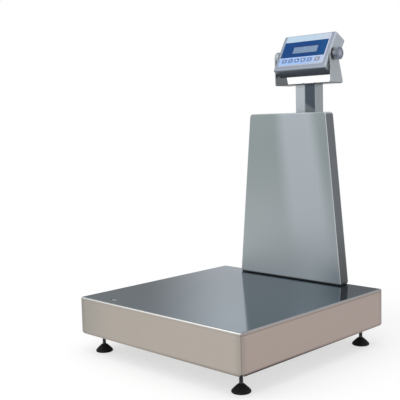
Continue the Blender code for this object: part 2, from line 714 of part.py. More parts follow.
def build_guard(deck):
    """Tapered tray with its open side to the rear, a cover plate and two brackets."""
    low = GUARD_BOTTOM_WIDTH / 2
    high = GUARD_TOP_WIDTH / 2
    corners = [(-low, GUARD_BOTTOM), (low, GUARD_BOTTOM), (high, GUARD_TOP), (-high, GUARD_TOP)]
    radii = [GUARD_BOTTOM_RADIUS] * 2 + [GUARD_TOP_RADIUS] * 2
    loops = tray_loops(corners, radii, GUARD_SHEET, GUARD_BEND, lambda p: 0.0, -GUARD_DEPTH)
    upright = [[(x, GUARD_FRONT - z, y) for x, y, z in loop] for loop in loops]
    place("guard_shell", upright, BRUSHED, deck)
    plate = rounded(corners, radii, GUARD_SHEET + GAP)
    back = GUARD_REAR - GUARD_COVER_INSET
    loops = [section(plate, along_y, back - GUARD_SHEET), section(plate, along_y, back)]
    place("guard_cover", loops, BRUSHED, deck)
    build_guard_bracket("guard_bracket_lower", BRACKET_LOW, deck)
    build_guard_bracket("guard_bracket_upper", BRACKET_HIGH, deck)


def build_guard_bracket(name, bottom, deck):
    """U-shaped bracket: its web lies on the guard's cover, its flanges hold the post's sides."""
    half = POST_WIDTH / 2 + GAP + BRACKET_SHEET / 2
    web = GUARD_REAR - GUARD_COVER_INSET + GAP + BRACKET_SHEET / 2
    end = POST_FRONT + POST_THICKNESS - BRACKET_SHORT_OF_REAR
    path = bent_path([(-half, end), (-half, web), (half, web), (half, end)], BRACKET_BEND)
    bent_strip(name, path, BRACKET_SHEET, lambda point: (bottom, bottom + BRACKET_HEIGHT),
               lambda point, z: (point.x, point.y, z), BRUSHED, deck)


def yoke_edges(point):
    """Front and rear edge of the yoke: full depth below, narrowing to a round end at the pivot."""
    base = YOKE_UNDERSIDE + YOKE_SHEET + YOKE_BEND
    share = min(max((point.y - base) / (PIVOT_Z - base), 0.0), 1.0)
    middle = YOKE_Y + (PIVOT_Y - YOKE_Y) * share
    half = YOKE_DEPTH / 2 + (YOKE_ARM_RADIUS - YOKE_DEPTH / 2) * share
    over = point.y - PIVOT_Z
    if over > 0:
        half = math.sqrt(YOKE_ARM_RADIUS ** 2 - over ** 2)
    return middle - half, middle + half


def build_yoke(deck):
    """U-shaped bracket folded from plate, drilled for the clamp studs."""
    arm = ARM_INNER_X + YOKE_SHEET / 2
    floor = YOKE_UNDERSIDE + YOKE_SHEET / 2
    rise = [math.sin(YOKE_TIP_TURN * k / YOKE_TIP_STEPS) for k in range(YOKE_TIP_STEPS + 1)]
    heights = [PIVOT_Z + YOKE_ARM_RADIUS * share for share in rise]
    right = [(arm, z) for z in heights]
    left = [(-arm, z) for z in reversed(heights)]
    path = bent_path(left + [(-arm, floor), (arm, floor)] + right, YOKE_BEND)
    yoke = bent_strip("yoke", path, YOKE_SHEET, yoke_edges,
                      lambda point, y: (point.x, y, point.y), BRUSHED, deck)
    for name, near, far in (("left", -ARM_OUTER_X, -ARM_INNER_X),
                            ("right", ARM_INNER_X, ARM_OUTER_X)):
        drill(yoke, "stud_hole_guide_" + name, along_x, (PIVOT_Y, PIVOT_Z), STUD_HOLE_RADIUS,
              near - YOKE_SHEET, far + YOKE_SHEET, deck)


def back_surface(point):
    """Outer back of the indicator, which grows deeper towards the top."""
    share = (point.y - FACE_BOTTOM) / FACE_HEIGHT
    return -(DEPTH_BOTTOM - FACE_OUT + (DEPTH_TOP - DEPTH_BOTTOM) * share)


def key_places():
    """Centre of each key on the face. The last key stands a little apart."""
    places = [(KEY_FIRST_X + KEY_PITCH * i, KEY_Y) for i in range(KEY_COUNT - 1)]
    places.append((places[-1][0] + KEY_LAST_PITCH, KEY_Y))
    return places


def face_prism(name, width, height, corner, centre, low, high, looks, head):
    """Rounded plate or cutter that stands out of the indicator's face."""
    outline = rounded(box_corners(width, height, centre), [corner] * 4)
    loops = [section(outline, along_z, low), section(outline, along_z, high)]
    return place(name, loops, looks, head)


def build_housing(head):
    """Front and back shells of the indicator."""
    centre = (0.0, (FACE_BOTTOM + FACE_TOP) / 2)
    corners = box_corners(FACE_WIDTH, FACE_HEIGHT, centre)
    radii = [HOUSING_CORNER] * 4
    loops = tray_loops(corners, radii, HOUSING_SHEET, HOUSING_BEND, lambda p: FACE_OUT, RIM_Z)
    front = place("housing_front", loops, BRUSHED, head)
    recess_floor = FACE_OUT - OVERLAY_RECESS
    over_face = FACE_OUT + HOUSING_SHEET
    overlay_centre = (0.0, OVERLAY_BOTTOM + OVERLAY_HEIGHT / 2)
    cut(front, face_prism("recess_guide", OVERLAY_WIDTH + 2 * GAP, OVERLAY_HEIGHT + 2 * GAP,
                          OVERLAY_CORNER, overlay_centre, recess_floor, over_face, None, head))
    sheet_top = recess_floor + GAP + OVERLAY_THICKNESS
    overlay = face_prism("overlay", OVERLAY_WIDTH, OVERLAY_HEIGHT, OVERLAY_CORNER,
                         overlay_centre, recess_floor + GAP, sheet_top, BLUE_FILM, head)
    window = face_prism("window_guide", WINDOW_WIDTH, WINDOW_HEIGHT, WINDOW_CORNER,
                        (WINDOW_X, WINDOW_Y), 0.0, over_face, None, head)
    cut(front, window)
    cut(overlay, window)
    face_prism("display_window", WINDOW_WIDTH - 2 * GAP, WINDOW_HEIGHT - 2 * GAP, WINDOW_CORNER,
               (WINDOW_X, WINDOW_Y), HOUSING_INNER_Z, sheet_top, DISPLAY_GLASS, head)
    for i, place_at in enumerate(key_places()):
        hole = face_prism("key_hole_guide_" + str(i + 1), KEY_WIDTH + 2 * SLIDE_GAP,
                          KEY_HEIGHT + 2 * SLIDE_GAP, KEY_CORNER, place_at, 0.0, over_face,
                          None, head)
        cut(front, hole)
        cut(overlay, hole)
    drill(front, "stud_bore_guide", along_x, (0.0, 0.0), STUD_HOLE_RADIUS, -FACE_WIDTH,
          FACE_WIDTH, head)
    build_keys(head, sheet_top)
    build_display(head, sheet_top)
    build_back(head, corners, radii)


def build_keys(head, sheet_top):
    """Keys that slide in the overlay. Each has its origin at the middle of its top."""
    for i, (x, y) in enumerate(key_places()):
        outline = rounded(box_corners(KEY_WIDTH, KEY_HEIGHT), [KEY_CORNER] * 4)
        crown = rounded(box_corners(KEY_WIDTH, KEY_HEIGHT), [KEY_CORNER] * 4, KEY_PROUD / 2)
        loops = [section(outline, along_z, -KEY_LENGTH),
                 section(outline, along_z, -KEY_PROUD / 2), section(crown, along_z, 0.0)]
        place("key_" + str(i + 1), loops, KEY_FILM, head, location=(x, y, sheet_top + KEY_PROUD))


def build_display(head, sheet_top):
    """Display module behind the window, and the circuit board with a switch under each key."""
    module_front = HOUSING_INNER_Z - GAP
    module_back = module_front - MODULE_DEPTH
    face_prism("display_module", WINDOW_WIDTH + 2 * MODULE_MARGIN, WINDOW_HEIGHT + MODULE_MARGIN,
               WINDOW_CORNER, (WINDOW_X, WINDOW_Y), module_back, module_front, GREY_PLASTIC, head)
    board_front = module_back - GAP
    board_centre = (0.0, (FACE_BOTTOM + FACE_TOP) / 2)
    board = face_prism("circuit_board", BOARD_WIDTH, BOARD_HEIGHT, WINDOW_CORNER, board_centre,
                       board_front - BOARD_THICKNESS, board_front, BOARD_GREEN, head)
    switch_top = sheet_top + KEY_PROUD - KEY_LENGTH - KEY_TRAVEL - GAP
    for i, place_at in enumerate(key_places()):
        join(board, face_prism("switch_guide_" + str(i + 1), SWITCH_SIZE, SWITCH_SIZE,
                               SWITCH_CORNER, place_at, board_front - BOARD_THICKNESS / 2,
                               switch_top, None, head))


def build_back(head, corners, radii):
    """Back shell with two cable glands."""
    flipped = [(-x, y) for x, y in reversed(corners)]
    loops = tray_loops(flipped, radii, HOUSING_SHEET, BACK_BEND,
                       lambda p: -back_surface(p), -(RIM_Z - GAP))
    turned_over = [[(x, y, -z) for x, y, z in loop] for loop in loops]
    back = place("housing_back", turned_over, BRUSHED, head)
    seat = back_surface(Vector((0.0, GLAND_Y))) - GAP
    seat -= GLAND_NUT_RADIUS * (DEPTH_TOP - DEPTH_BOTTOM) / FACE_HEIGHT
    steps = SMALL_ROUND_STEPS
    for name, x in (("load_cell", -GLAND_X), ("power", GLAND_X)):
        drill(back, "gland_hole_guide_" + name, along_z, (x, GLAND_Y),
              GLAND_THREAD_RADIUS + GAP, seat - HOUSING_SHEET, RIM_Z, head)
        nut_end = seat - GLAND_NUT_HEIGHT
        dome_end = nut_end - GLAND_DOME_HEIGHT
        thread_end = seat + GLAND_THREAD_LENGTH
        loops = [circle(GLAND_THREAD_RADIUS, along_z, thread_end, steps),
                 circle(GLAND_THREAD_RADIUS, along_z, seat, steps),
                 circle(GLAND_NUT_RADIUS, along_z, seat, steps, shape=hexagon),
                 circle(GLAND_NUT_RADIUS, along_z, nut_end, steps, shape=hexagon),
                 circle(GLAND_DOME_RADIUS, along_z, nut_end, steps),
                 circle(GLAND_DOME_RADIUS, along_z, dome_end + GLAND_DOME_RADIUS / 2, steps),
                 circle(GLAND_TIP_RADIUS, along_z, dome_end, steps),
                 circle(GLAND_BORE_RADIUS, along_z, dome_end, steps),
                 circle(GLAND_BORE_RADIUS, along_z, thread_end, steps)]
        place("gland_" + name, loops, BLACK_PLASTIC, head, ring=True, location=(x, GLAND_Y, 0.0))


def knob_outline(size):
    """Rim of a knob with equal round lobes, which fade out on smaller radii."""
    hub = KNOB_HUB_RADIUS * size
    rim = KNOB_RADIUS * size

    def outline(angle, radius):
        fade = min(max((radius - hub) / (rim - hub), 0.0), 1.0)
        return radius - KNOB_LOBE_DEPTH * size * fade * (1 - math.cos(KNOB_LOBES * angle)) / 2

    return outline


def knob_rings(size):
    """Radius and distance from the arm of each ring of a knob, from its hub to its dimple."""
    body = KNOB_HUB_LENGTH * size
    end = KNOB_LENGTH * size
    rim = KNOB_RADIUS * size
    edge = KNOB_EDGE * size
    hub = KNOB_HUB_RADIUS * size
    dimple = KNOB_DIMPLE_RADIUS * size
    rings = [(hub, 0.0), (hub, body), (rim - edge / 2, body), (rim, body + edge / 2)]
    for k in range(BEND_STEPS + 1):
        turn = math.pi / 2 * k / BEND_STEPS
        rings.append((rim - edge * (1 - math.cos(turn)), end - edge * (1 - math.sin(turn))))
    dimple_depth = KNOB_DIMPLE_DEPTH * size
    rings += [(dimple, end), (dimple - dimple_depth, end - dimple_depth)]
    return rings


def build_clamps(head):
    """On each side a spacer disc, and a knob whose stud passes the arm into the housing.

    The left one is low and small, because only the right one is worked by hand.
    """
    side = FACE_WIDTH / 2
    for name, sign, size in (("left", -1, LEFT_KNOB_SHARE), ("right", 1, 1.0)):
        def across(u, v, s, sign=sign):
            return (sign * s, u, v)
        disc = [circle(DISC_RADIUS, across, side + GAP),
                circle(DISC_RADIUS, across, side + GAP + DISC_THICKNESS),
                circle(STUD_HOLE_RADIUS, across, side + GAP + DISC_THICKNESS),
                circle(STUD_HOLE_RADIUS, across, side + GAP)]
        place("spacer_disc_" + name, disc, BLACK_PLASTIC, head, ring=True)
        start = ARM_OUTER_X + GAP
        rings = [(STUD_RADIUS, side - STUD_INSIDE), (STUD_RADIUS, start)]
        rings += [(radius, start + out) for radius, out in knob_rings(size)]
        shape = knob_outline(size)
        loops = [circle(radius, across, x, KNOB_STEPS, shape=shape) for radius, x in rings]
        place("knob_" + name, loops, GREY_PLASTIC, head)


def empty(name, location, parent=None, turn=0.0):
    """Guide point that carries other objects."""
    guide = bpy.data.objects.new(name, None)
    guide.location = location
    guide.rotation_euler = (turn, 0.0, 0.0)
    guide.parent = parent
    bpy.context.collection.objects.link(guide)
    return guide


def main():
    """Clear the scene and build the scale."""
    for item in list(bpy.data.objects):
        bpy.data.objects.remove(item)
    deck = empty("deck_centre", (0.0, (PAN_REAR - REAR_REACH) / 2, 0.0))
    build_pan(deck)
    build_top_frame(deck)
    build_load_cell(deck)
    build_base_frame(deck)
    build_overload_stops(deck)
    build_feet(deck)
    build_level(deck)
    build_post(deck)
    build_guard(deck)
    build_yoke(deck)
    head = empty("indicator_pivot", (0.0, PIVOT_Y, PIVOT_Z), deck, math.pi / 2 - FACE_TILT)
    build_housing(head)
    build_clamps(head)


main()
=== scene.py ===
"""Finishes, fine pieces, studio and camera for a stainless platform scale.

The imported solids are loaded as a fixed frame. This file adds what they leave out: smooth bends,
threads, screws, welds, the print on the indicator, and the finish of every surface.
"""
import json
import math

import bpy
import numpy as np
from mathutils import Matrix, Vector

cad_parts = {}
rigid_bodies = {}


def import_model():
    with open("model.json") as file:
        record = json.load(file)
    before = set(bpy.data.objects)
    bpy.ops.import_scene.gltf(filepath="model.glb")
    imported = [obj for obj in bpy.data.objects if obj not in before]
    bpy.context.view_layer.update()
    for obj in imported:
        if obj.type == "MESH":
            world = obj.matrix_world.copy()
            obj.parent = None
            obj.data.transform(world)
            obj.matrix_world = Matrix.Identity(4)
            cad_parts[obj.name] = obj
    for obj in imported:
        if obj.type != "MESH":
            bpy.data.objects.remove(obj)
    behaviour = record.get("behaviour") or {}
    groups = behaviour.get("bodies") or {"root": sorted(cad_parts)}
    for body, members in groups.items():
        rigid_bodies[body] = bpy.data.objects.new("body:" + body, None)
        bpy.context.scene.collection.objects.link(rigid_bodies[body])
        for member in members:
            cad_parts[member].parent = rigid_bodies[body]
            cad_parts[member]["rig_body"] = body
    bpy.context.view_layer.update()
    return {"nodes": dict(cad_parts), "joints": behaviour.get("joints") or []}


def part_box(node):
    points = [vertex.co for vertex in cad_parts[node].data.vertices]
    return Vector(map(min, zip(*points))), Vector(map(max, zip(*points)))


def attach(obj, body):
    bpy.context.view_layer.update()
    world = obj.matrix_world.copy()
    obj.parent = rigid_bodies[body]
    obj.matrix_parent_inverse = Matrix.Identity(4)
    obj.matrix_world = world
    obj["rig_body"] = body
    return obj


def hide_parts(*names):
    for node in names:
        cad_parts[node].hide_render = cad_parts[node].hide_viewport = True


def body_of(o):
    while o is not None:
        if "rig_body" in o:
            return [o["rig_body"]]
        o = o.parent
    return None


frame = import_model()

bl_info = {
    "name": "Platform Scale Dressing",
    "version": (1, 0, 0),
    "blender": (4, 5, 0),
    "location": "View3D > Sidebar > Scale",
    "description": "Finishes and fine pieces for a stainless platform scale",
    "category": "Object",
}

CORNERS = ("front_left", "front_right", "rear_left", "rear_right")
ACROSS, BACK, UP = np.eye(3)

# Scales of the brush lines along each direction: coarse along the lines, fine across them
LINES_X = (22.0, 2400.0, 2400.0)
LINES_Y = (2400.0, 22.0, 2400.0)
LINES_Z = (2400.0, 2400.0, 22.0)


def tone(red, green, blue):
    """Linear colour of a tone that is given on the 0 to 255 scale of a screen."""
    share = np.array([red, green, blue]) / 255.0
    return tuple(float(v) for v in np.where(share <= 0.04045, share / 12.92,
                                            ((share + 0.055) / 1.055) ** 2.4))


def joint(name):
    """The record's entry for one joint."""
    return next(item for item in frame["joints"] if item["name"] == name)


# The indicator's own directions, read from the joints: its pivot, and how its keys travel.
# The rows of FACE point right, up and out of its face.
PIVOT = np.array(joint("indicator_tilt")["pos_m"], float)
FACE_OUT = -np.array(joint("key_press_1")["axis"], float)
FACE_UP = np.cross(FACE_OUT, ACROSS)
FACE = np.stack([ACROSS, FACE_UP, FACE_OUT])


def colour_value(label, value, note):
    """A colour that a user can change."""
    return bpy.props.FloatVectorProperty(name=label, description=note, default=value, size=3,
                                         subtype="COLOR", min=0.0, max=1.0)


def length_value(label, value, note):
    """A length that a user can change, in metres."""
    return bpy.props.FloatProperty(name=label, description=note, default=value, min=0.0,
                                   unit="LENGTH", subtype="DISTANCE", precision=5)


def angle_value(label, value, note):
    """An angle that a user can change, in radians."""
    return bpy.props.FloatProperty(name=label, description=note, default=value,
                                   subtype="ANGLE", unit="ROTATION")


def number_value(label, value, note):
    """A plain number that a user can change."""
    return bpy.props.FloatProperty(name=label, description=note, default=value, min=0.0)


class SteelLooks(bpy.types.PropertyGroup):
    """Colours of the stainless surfaces."""
    pan_top: colour_value("Pan top", tone(121, 132, 140), "Polished top of the pan")
    skirt_front: colour_value("Front skirt", tone(178, 170, 161), "Brushed front and rear skirts")
    # Painted shade: the side skirts are the skirt steel in a darker, pinker tone.
    skirt_side_shade: colour_value("Side skirt", tone(169, 155, 148), "Brushed side skirts")
    column: colour_value("Guard", tone(142, 151, 152), "Satin guard in front of the post")
    # Painted light and shade on the guard: a lit band on its face and darker sides.
    column_light: colour_value("Guard, lit band", tone(168, 176, 182), "Soft upright band")
    column_side_shade: colour_value("Guard sides", tone(104, 108, 113), "Folded sides of the guard")
    post_light: colour_value("Post", tone(176, 183, 188), "Light half of the post")
    # Painted reflection: a dark band on the post's front face.
    post_reflection: colour_value("Post, dark band", tone(74, 83, 92), "Dark half of the post")
    yoke: colour_value("Yoke", tone(160, 167, 172), "Yoke plate")
    housing: colour_value("Indicator housing", tone(176, 184, 192), "Indicator shells")
    # Painted shade: the indicator's front face is the shell's steel in a deeper tone.
    bezel_shade: colour_value("Indicator front", tone(137, 145, 159), "Front face round the print")
    tube: colour_value("Base tubes", tone(168, 168, 164), "Tubes of the base frame")


class PrintLooks(bpy.types.PropertyGroup):
    """Colours of the printed face."""
    panel: colour_value("Panel", tone(14, 62, 121), "Blue field round the display")
    key_strip: colour_value("Key strip", tone(152, 180, 226), "Pale field under the keys")
    top_strip: colour_value("Top strip", tone(176, 196, 214), "Pale field above the panel")
    display: colour_value("Display", tone(112, 136, 166), "Window over the display")
    keys: colour_value("Keys", tone(98, 130, 176), "Key caps")
    marks: colour_value("Key marks", tone(222, 230, 240), "Plain marks on the keys")


class FastenerSizes(bpy.types.PropertyGroup):
    """Sizes of the screws and bolts."""
    cover_screw: length_value("Cover screw", 0.0036, "Head radius of the cover's screws")
    bracket_bolt: length_value("Bracket bolt", 0.0055, "Head radius of the bracket bolts")
    flange_bolt: length_value("Flange bolt", 0.0050, "Half width across flats at the post's foot")
    cell_bolt: length_value("Cell bolt", 0.0065, "Head radius of the load cell's bolts")
    thread_pitch: length_value("Thread pitch", 0.0015, "Pitch of the levelling stems")
    thread_depth: length_value("Thread depth", 0.0008, "Depth of the levelling stems' thread")
    weld: length_value("Weld bead", 0.0020, "Radius of the weld beads")


class StudioSettings(bpy.types.PropertyGroup):
    """Camera, lamps and floor."""
    eye: bpy.props.FloatVectorProperty(name="Camera place", description="Where the camera stands",
                                       default=(1.4318, -1.6305, 0.6312), size=3,
                                       subtype="TRANSLATION", unit="LENGTH")
    heading: angle_value("Heading", 0.7795, "Turn to the left of +Y")
    dip: angle_value("Dip", 0.0983, "Tilt below the horizon")
    roll: angle_value("Roll", -0.0250, "Turn about the line of sight")
    lens: number_value("Lens", 68.97, "Focal length in millimetres on a 36 mm sensor")
    sky: number_value("Sky level", 0.80, "Strength of the even light from all round")
    key_lamp: number_value("Key lamp", 26.0, "Watts of the soft lamp at the front left")
    top_lamp: number_value("Top lamp", 22.0, "Watts of the soft lamp overhead")


class ScaleSettings(bpy.types.PropertyGroup):
    """All settings of the platform scale."""
    steel: bpy.props.PointerProperty(type=SteelLooks, name="Steel", description="Steel colours")
    prints: bpy.props.PointerProperty(type=PrintLooks, name="Print", description="Print colours")
    fasteners: bpy.props.PointerProperty(type=FastenerSizes, name="Fasteners",
                                         description="Sizes of the fasteners")
    studio: bpy.props.PointerProperty(type=StudioSettings, name="Studio",
                                      description="Camera, lamps and floor")


# Shapes. A form is a pair: an array of points, and faces as lists of point numbers.

def circle(steps):
    """Equal angles once round."""
    return np.linspace(0.0, 2 * math.pi, steps, endpoint=False)


def volume(points, loops):
    """Six times the volume between the points' middle and equally long loops of them."""
    corners = points[loops] - points.mean(0)
    return np.einsum("ik,ijk->", corners[:, 0], np.cross(corners[:, 1:-1], corners[:, 2:]))


def skin(rings, wrap=False):
    """One closed form through n rings of m points.

    Each ring closes on itself and neighbouring rings are joined by quads. The first and last
    ring are closed by a flat face, or joined to each other where wrap is set. Faces point out:
    the sign of the enclosed volume tells which way round they run.
    """
    n, m = rings.shape[:2]
    index = np.arange(n * m).reshape(n, m)
    rows, above = (index, np.roll(index, -1, 0)) if wrap else (index[:-1], index[1:])
    quads = np.stack([rows, np.roll(rows, -1, 1), np.roll(above, -1, 1), above], -1).reshape(-1, 4)
    points = rings.reshape(-1, 3)
    caps = [] if wrap else [index[:1, ::-1], index[-1:]]
    faces = [face for loops in (quads, *caps) for face in loops.tolist()]
    if sum(volume(points, loops) for loops in (quads, *caps)) < 0:
        faces = [face[::-1] for face in faces]
    return points, faces


def gather(forms):
    """Several forms as one."""
    faces, start = [], 0
    for form_points, form_faces in forms:
        faces += [[i + start for i in face] for face in form_faces]
        start += len(form_points)
    return np.concatenate([form[0] for form in forms]), faces


def moved(form, shift):
    """A form moved by a shift."""
    return form[0] + np.asarray(shift), form[1]


def turned(profile, steps=36, hexed=()):
    """Rings of a form turned about Z: the profile's (radius, height) pairs at equal angles.

    A ring whose number is in hexed has its radius divided by the cosine of the angle to the
    nearest flat, which makes it a hexagon with that half width across its flats.
    """
    profile = np.asarray(profile, float)
    angle = circle(steps)
    reach = np.repeat(profile[:, :1], steps, 1)
    reach[list(hexed)] /= np.cos((angle + math.pi / 6) % (math.pi / 3) - math.pi / 6)
    height = np.repeat(profile[:, 1:2], steps, 1)
    return np.stack([reach * np.cos(angle), reach * np.sin(angle), height], -1)


def stand(form, place, out):
    """A form moved so that its Z axis points out from a place."""
    out = np.asarray(out, float) / np.linalg.norm(out)
    side = np.cross(out, ACROSS if abs(out[0]) < 0.9 else BACK)
    side /= np.linalg.norm(side)
    return form[0] @ np.stack([side, np.cross(out, side), out]) + np.asarray(place), form[1]


def dome(bend, base, rise, power=1.0, steps=6):
    """Profile from a radius of 1 inwards over part of a quarter ellipse, on a low base."""
    turn = np.linspace(0.0, bend * math.pi, steps)
    return np.stack([np.cos(turn) ** power, base + rise * np.sin(turn)], 1).tolist()


BUTTON = dome(0.40, 0.12, 0.52)
CROSS = dome(0.44, 0.08, 0.42, 0.8)

# Profiles of screw heads with a radius of 1, from the seat over the rim into the socket, and the
# numbers of the rings that are hexagons
HEADS = {
    "button": ([(0.93, 0.0), (1.0, 0.05), *BUTTON, (0.4026, BUTTON[-1][1]),
                (0.33, BUTTON[-1][1] - 0.06), (0.33, 0.16), (0.099, 0.12)], (9, 10)),
    "cap": ([(0.96, 0.0), (1.0, 0.05), (1.0, 1.06), (0.96, 1.16), (0.88, 1.2), (0.638, 1.2),
             (0.55, 1.15), (0.55, 0.6), (0.165, 0.528)], (6, 7)),
    "washer": ([(1.62, 0.0), (1.68, 0.06), (1.68, 0.22), (1.60, 0.28), (1.02, 0.28), (1.0, 0.34),
                (1.0, 0.98), (0.99, 1.06), (0.92, 1.14), (0.3, 1.15)], (5, 6, 7)),
    "cross": ([(0.95, 0.0), *CROSS, (0.34, CROSS[-1][1]), (0.28, CROSS[-1][1] - 0.22),
               (0.12, CROSS[-1][1] - 0.30)], ()),
}


def screw_head(kind, radius):
    """Screw head on the XY plane: domed button, cap, hexagon with washer, or with a cross.

    The recess of the cross is a ring whose radius swells four times round.
    """
    profile, hexed = HEADS[kind]
    steps = 48 if kind == "cross" else 36
    rings = turned(np.array(profile) * radius, steps, hexed)
    if kind == "cross":
        swell = 0.55 + 0.75 * np.abs(np.cos(2 * circle(steps))) ** 3
        rings[-3:-1, :, :2] *= swell[None, :, None]
    return skin(rings)


def threaded(radius, depth, pitch, low, high, steps=20, per_turn=6):
    """Threaded rod on the Z axis.

    On a grid of height and angle the radius falls by depth times a rounded saw of the thread's
    phase, which is the height in pitches less the share of the turn. The depth fades to nothing
    at both ends, where the rod is chamfered.
    """
    z = np.linspace(low, high, int((high - low) / pitch * per_turn))[:, None]
    angle = circle(steps)[None, :]
    saw = 0.5 + 0.5 * np.cos(2 * math.pi * (z / pitch - angle / (2 * math.pi)))
    to_end = np.minimum(z - low, high - z) / pitch
    chamfer = 0.9 * depth * (1 - np.clip(to_end / 0.6, 0.0, 1.0))
    reach = radius - depth * (1 - saw) * np.clip(to_end / 1.5, 0.0, 1.0) - chamfer
    return skin(np.stack([reach * np.cos(angle), reach * np.sin(angle),
                          np.broadcast_to(z, reach.shape)], -1))


def rounded_path(width, height, radius, steps=8):
    """Closed path round a rectangle with round corners, counterclockwise, in two columns."""
    turn = np.linspace(0.0, math.pi / 2, steps) + np.arange(4)[:, None] * math.pi / 2
    middles = np.array([[1, 1], [-1, 1], [-1, -1], [1, -1]]) * [width / 2 - radius,
                                                               height / 2 - radius]
    arcs = np.stack([np.cos(turn), np.sin(turn)], -1) * radius
    return (arcs + middles[:, None, :]).reshape(-1, 2)


def rectangle(width, height):
    """Outline of a rectangle round the origin."""
    return np.array([[-1, -1], [1, -1], [1, 1], [-1, 1]]) * [width / 2, height / 2]


def lifted(path, height, middle=(0.0, 0.0)):
    """A flat path laid round a middle, at a height."""
    return np.column_stack([path + np.asarray(middle), np.full(len(path), height)])


def denser(path, gap, closed=True):
    """Points at equal distances along a path, by its running length."""
    whole = np.concatenate([path, path[:1]]) if closed else path
    run = np.concatenate([[0.0], np.cumsum(np.linalg.norm(np.diff(whole, axis=0), axis=1))])
    at = np.linspace(0.0, run[-1], max(int(run[-1] / gap), 8), endpoint=not closed)
    return np.stack([np.interp(at, run, column) for column in whole.T], 1)


def along(path, section, normal=UP, closed=True, swell=1.0):
    """A flat section carried along a path that lies across the normal.

    The section's first number runs to the outside of the path and its second along the normal.
    Swell scales the section, by one number or by one for each point of the path.
    """
    ahead = np.roll(path, -1, 0) - np.roll(path, 1, 0)
    if not closed:
        ahead[0], ahead[-1] = path[1] - path[0], path[-1] - path[-2]
    outside = np.cross(ahead / np.linalg.norm(ahead, axis=1)[:, None], normal)
    size = np.broadcast_to(swell, len(path))[:, None, None]
    rings = path[:, None, :] + size * (section[None, :, :1] * outside[:, None, :]
                                       + section[None, :, 1:] * normal)
    return skin(rings, wrap=closed)


def disc_section(radius, steps=10):
    """Round section for seals and beads."""
    return np.stack([np.cos(circle(steps)), np.sin(circle(steps))], 1) * radius


def weld_bead(path, radius, closed=True):
    """Row of overlapping weld ripples: the bead's size swells and shrinks along its path."""
    points = denser(path, radius * 0.30, closed)
    number = np.arange(len(points))
    ripple = 0.86 + 0.14 * np.abs(np.sin(number * 0.62))
    if not closed:
        ripple *= np.clip(0.35 + np.minimum(number, number[::-1]) / 6.0, 0.35, 1.0)
    return along(points, disc_section(radius), UP, closed, ripple)


def print_plate(outline, low, high, origin=PIVOT):
    """Flat plate on the indicator's face: an outline at two heights, drawn in on top."""
    middle = outline.mean(0)
    reach = np.linalg.norm(outline - middle, axis=1).max()
    inner = middle + (outline - middle) * (1 - (high - low) * 0.5 / reach)
    levels = ((outline, low), (outline, (low + high) / 2), (inner, high))
    return skin(np.stack([lifted(flat, z) for flat, z in levels]) @ FACE + origin)


def make(name, form, material, body, bend=35.0, replaces=()):
    """A finished piece at the origin, smooth up to the given angle, riding on a body."""
    points, faces = form
    mesh = bpy.data.meshes.new(name)
    mesh.from_pydata(points.tolist(), [], faces)
    mesh.validate()
    mesh.shade_smooth()
    mesh.set_sharp_from_angle(angle=math.radians(bend))
    mesh.materials.append(material)
    piece = bpy.data.objects.new(name, mesh)
    bpy.context.scene.collection.objects.link(piece)
    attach(piece, body)
    if replaces:
        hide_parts(*replaces)
    return piece


def fasten(name, kind, radius, places, body="base"):
    """Equal screw heads as one piece. Each place is a point and the direction that it faces."""
    heads = [stand(screw_head(kind, radius), point, out) for point, out in places]
    make(name, gather(heads), bpy.data.materials["fastener_steel"], body)


def numbers(items, field, width=1, kind=float):
    """One field of a mesh's points, loops, edges or polygons, as an array."""
    flat = np.zeros(len(items) * width, kind)
    items.foreach_get(field, flat)
    return flat.reshape(-1, width) if width > 1 else flat


def points_of(node):
    """All points of a CAD node, as an array."""
    return numbers(frame["nodes"][node].data.vertices, "co", 3)


def smooth_copy(node, material, bend=38.0):
    """A copy of a CAD node with its doubles merged, so that its bends shade as round ones.

    Points that agree to a hundredth of a millimetre become one, and triangles that lose a
    corner by it are left out.
    """
    points = points_of(node)
    corners = numbers(frame["nodes"][node].data.loops, "vertex_index", kind=int)
    first, merged = np.unique(np.round(points / 1e-5).astype(np.int64), axis=0,
                              return_index=True, return_inverse=True)[1:]
    triangles = merged.reshape(-1)[corners].reshape(-1, 3)
    whole = (triangles != np.roll(triangles, 1, 1)).all(1)
    body = body_of(frame["nodes"][node])[0]
    piece = make(node + "_sheet", (points[first], triangles[whole].tolist()), material, body,
                 bend, (node,))
    keep_plane(piece.data)


def keep_plane(mesh):
    """Let large flat faces shade plane, with the bends beside them still round.

    Triangles that lie in one plane count as one face. An edge becomes sharp where two faces of
    very different size meet at an angle.
    """
    area = numbers(mesh.polygons, "area")
    normal = numbers(mesh.polygons, "normal", 3)
    middle = numbers(mesh.polygons, "center", 3)
    edge = numbers(mesh.loops, "edge_index", kind=int)
    away = (normal * middle).sum(1) * 5.0
    plane = np.round(np.column_stack([normal, away]) / 0.002)
    group = np.unique(plane, axis=0, return_inverse=True)[1].reshape(-1)
    area = np.bincount(group, weights=area)[group]
    order = np.argsort(edge, kind="stable")
    shared = edge[order][1:] == edge[order][:-1]
    first, second = order[:-1][shared] // 3, order[1:][shared] // 3
    bent = (normal[first] * normal[second]).sum(1) < 0.9998
    uneven = np.maximum(area[first], area[second]) > 6 * np.minimum(area[first], area[second])
    sharp = numbers(mesh.edges, "use_edge_sharp", kind=bool)
    sharp[edge[order][:-1][shared][bent & uneven]] = True
    mesh.edges.foreach_set("use_edge_sharp", sharp)


def coat(material, *nodes):
    """Give CAD nodes a finish in place of their plain one."""
    for node in nodes:
        frame["nodes"][node].data.materials.clear()
        frame["nodes"][node].data.materials.append(material)


def taper_of(node, end=0.012):
    """Half width of an upright tapered plate at its foot and at its head."""
    points = points_of(node)
    tall = points[:, 2]
    return [float(np.abs(points[near, 0]).max())
            for near in (tall < tall.min() + end, tall > tall.max() - end)]


def middle_of(node):
    """Middle of a node's box."""
    return np.mean(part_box(node), 0)


def face_point(x, y, z):
    """Place in the row frame of a point given right, up and out from the indicator's pivot."""
    return np.array([x, y, z]) @ FACE + PIVOT


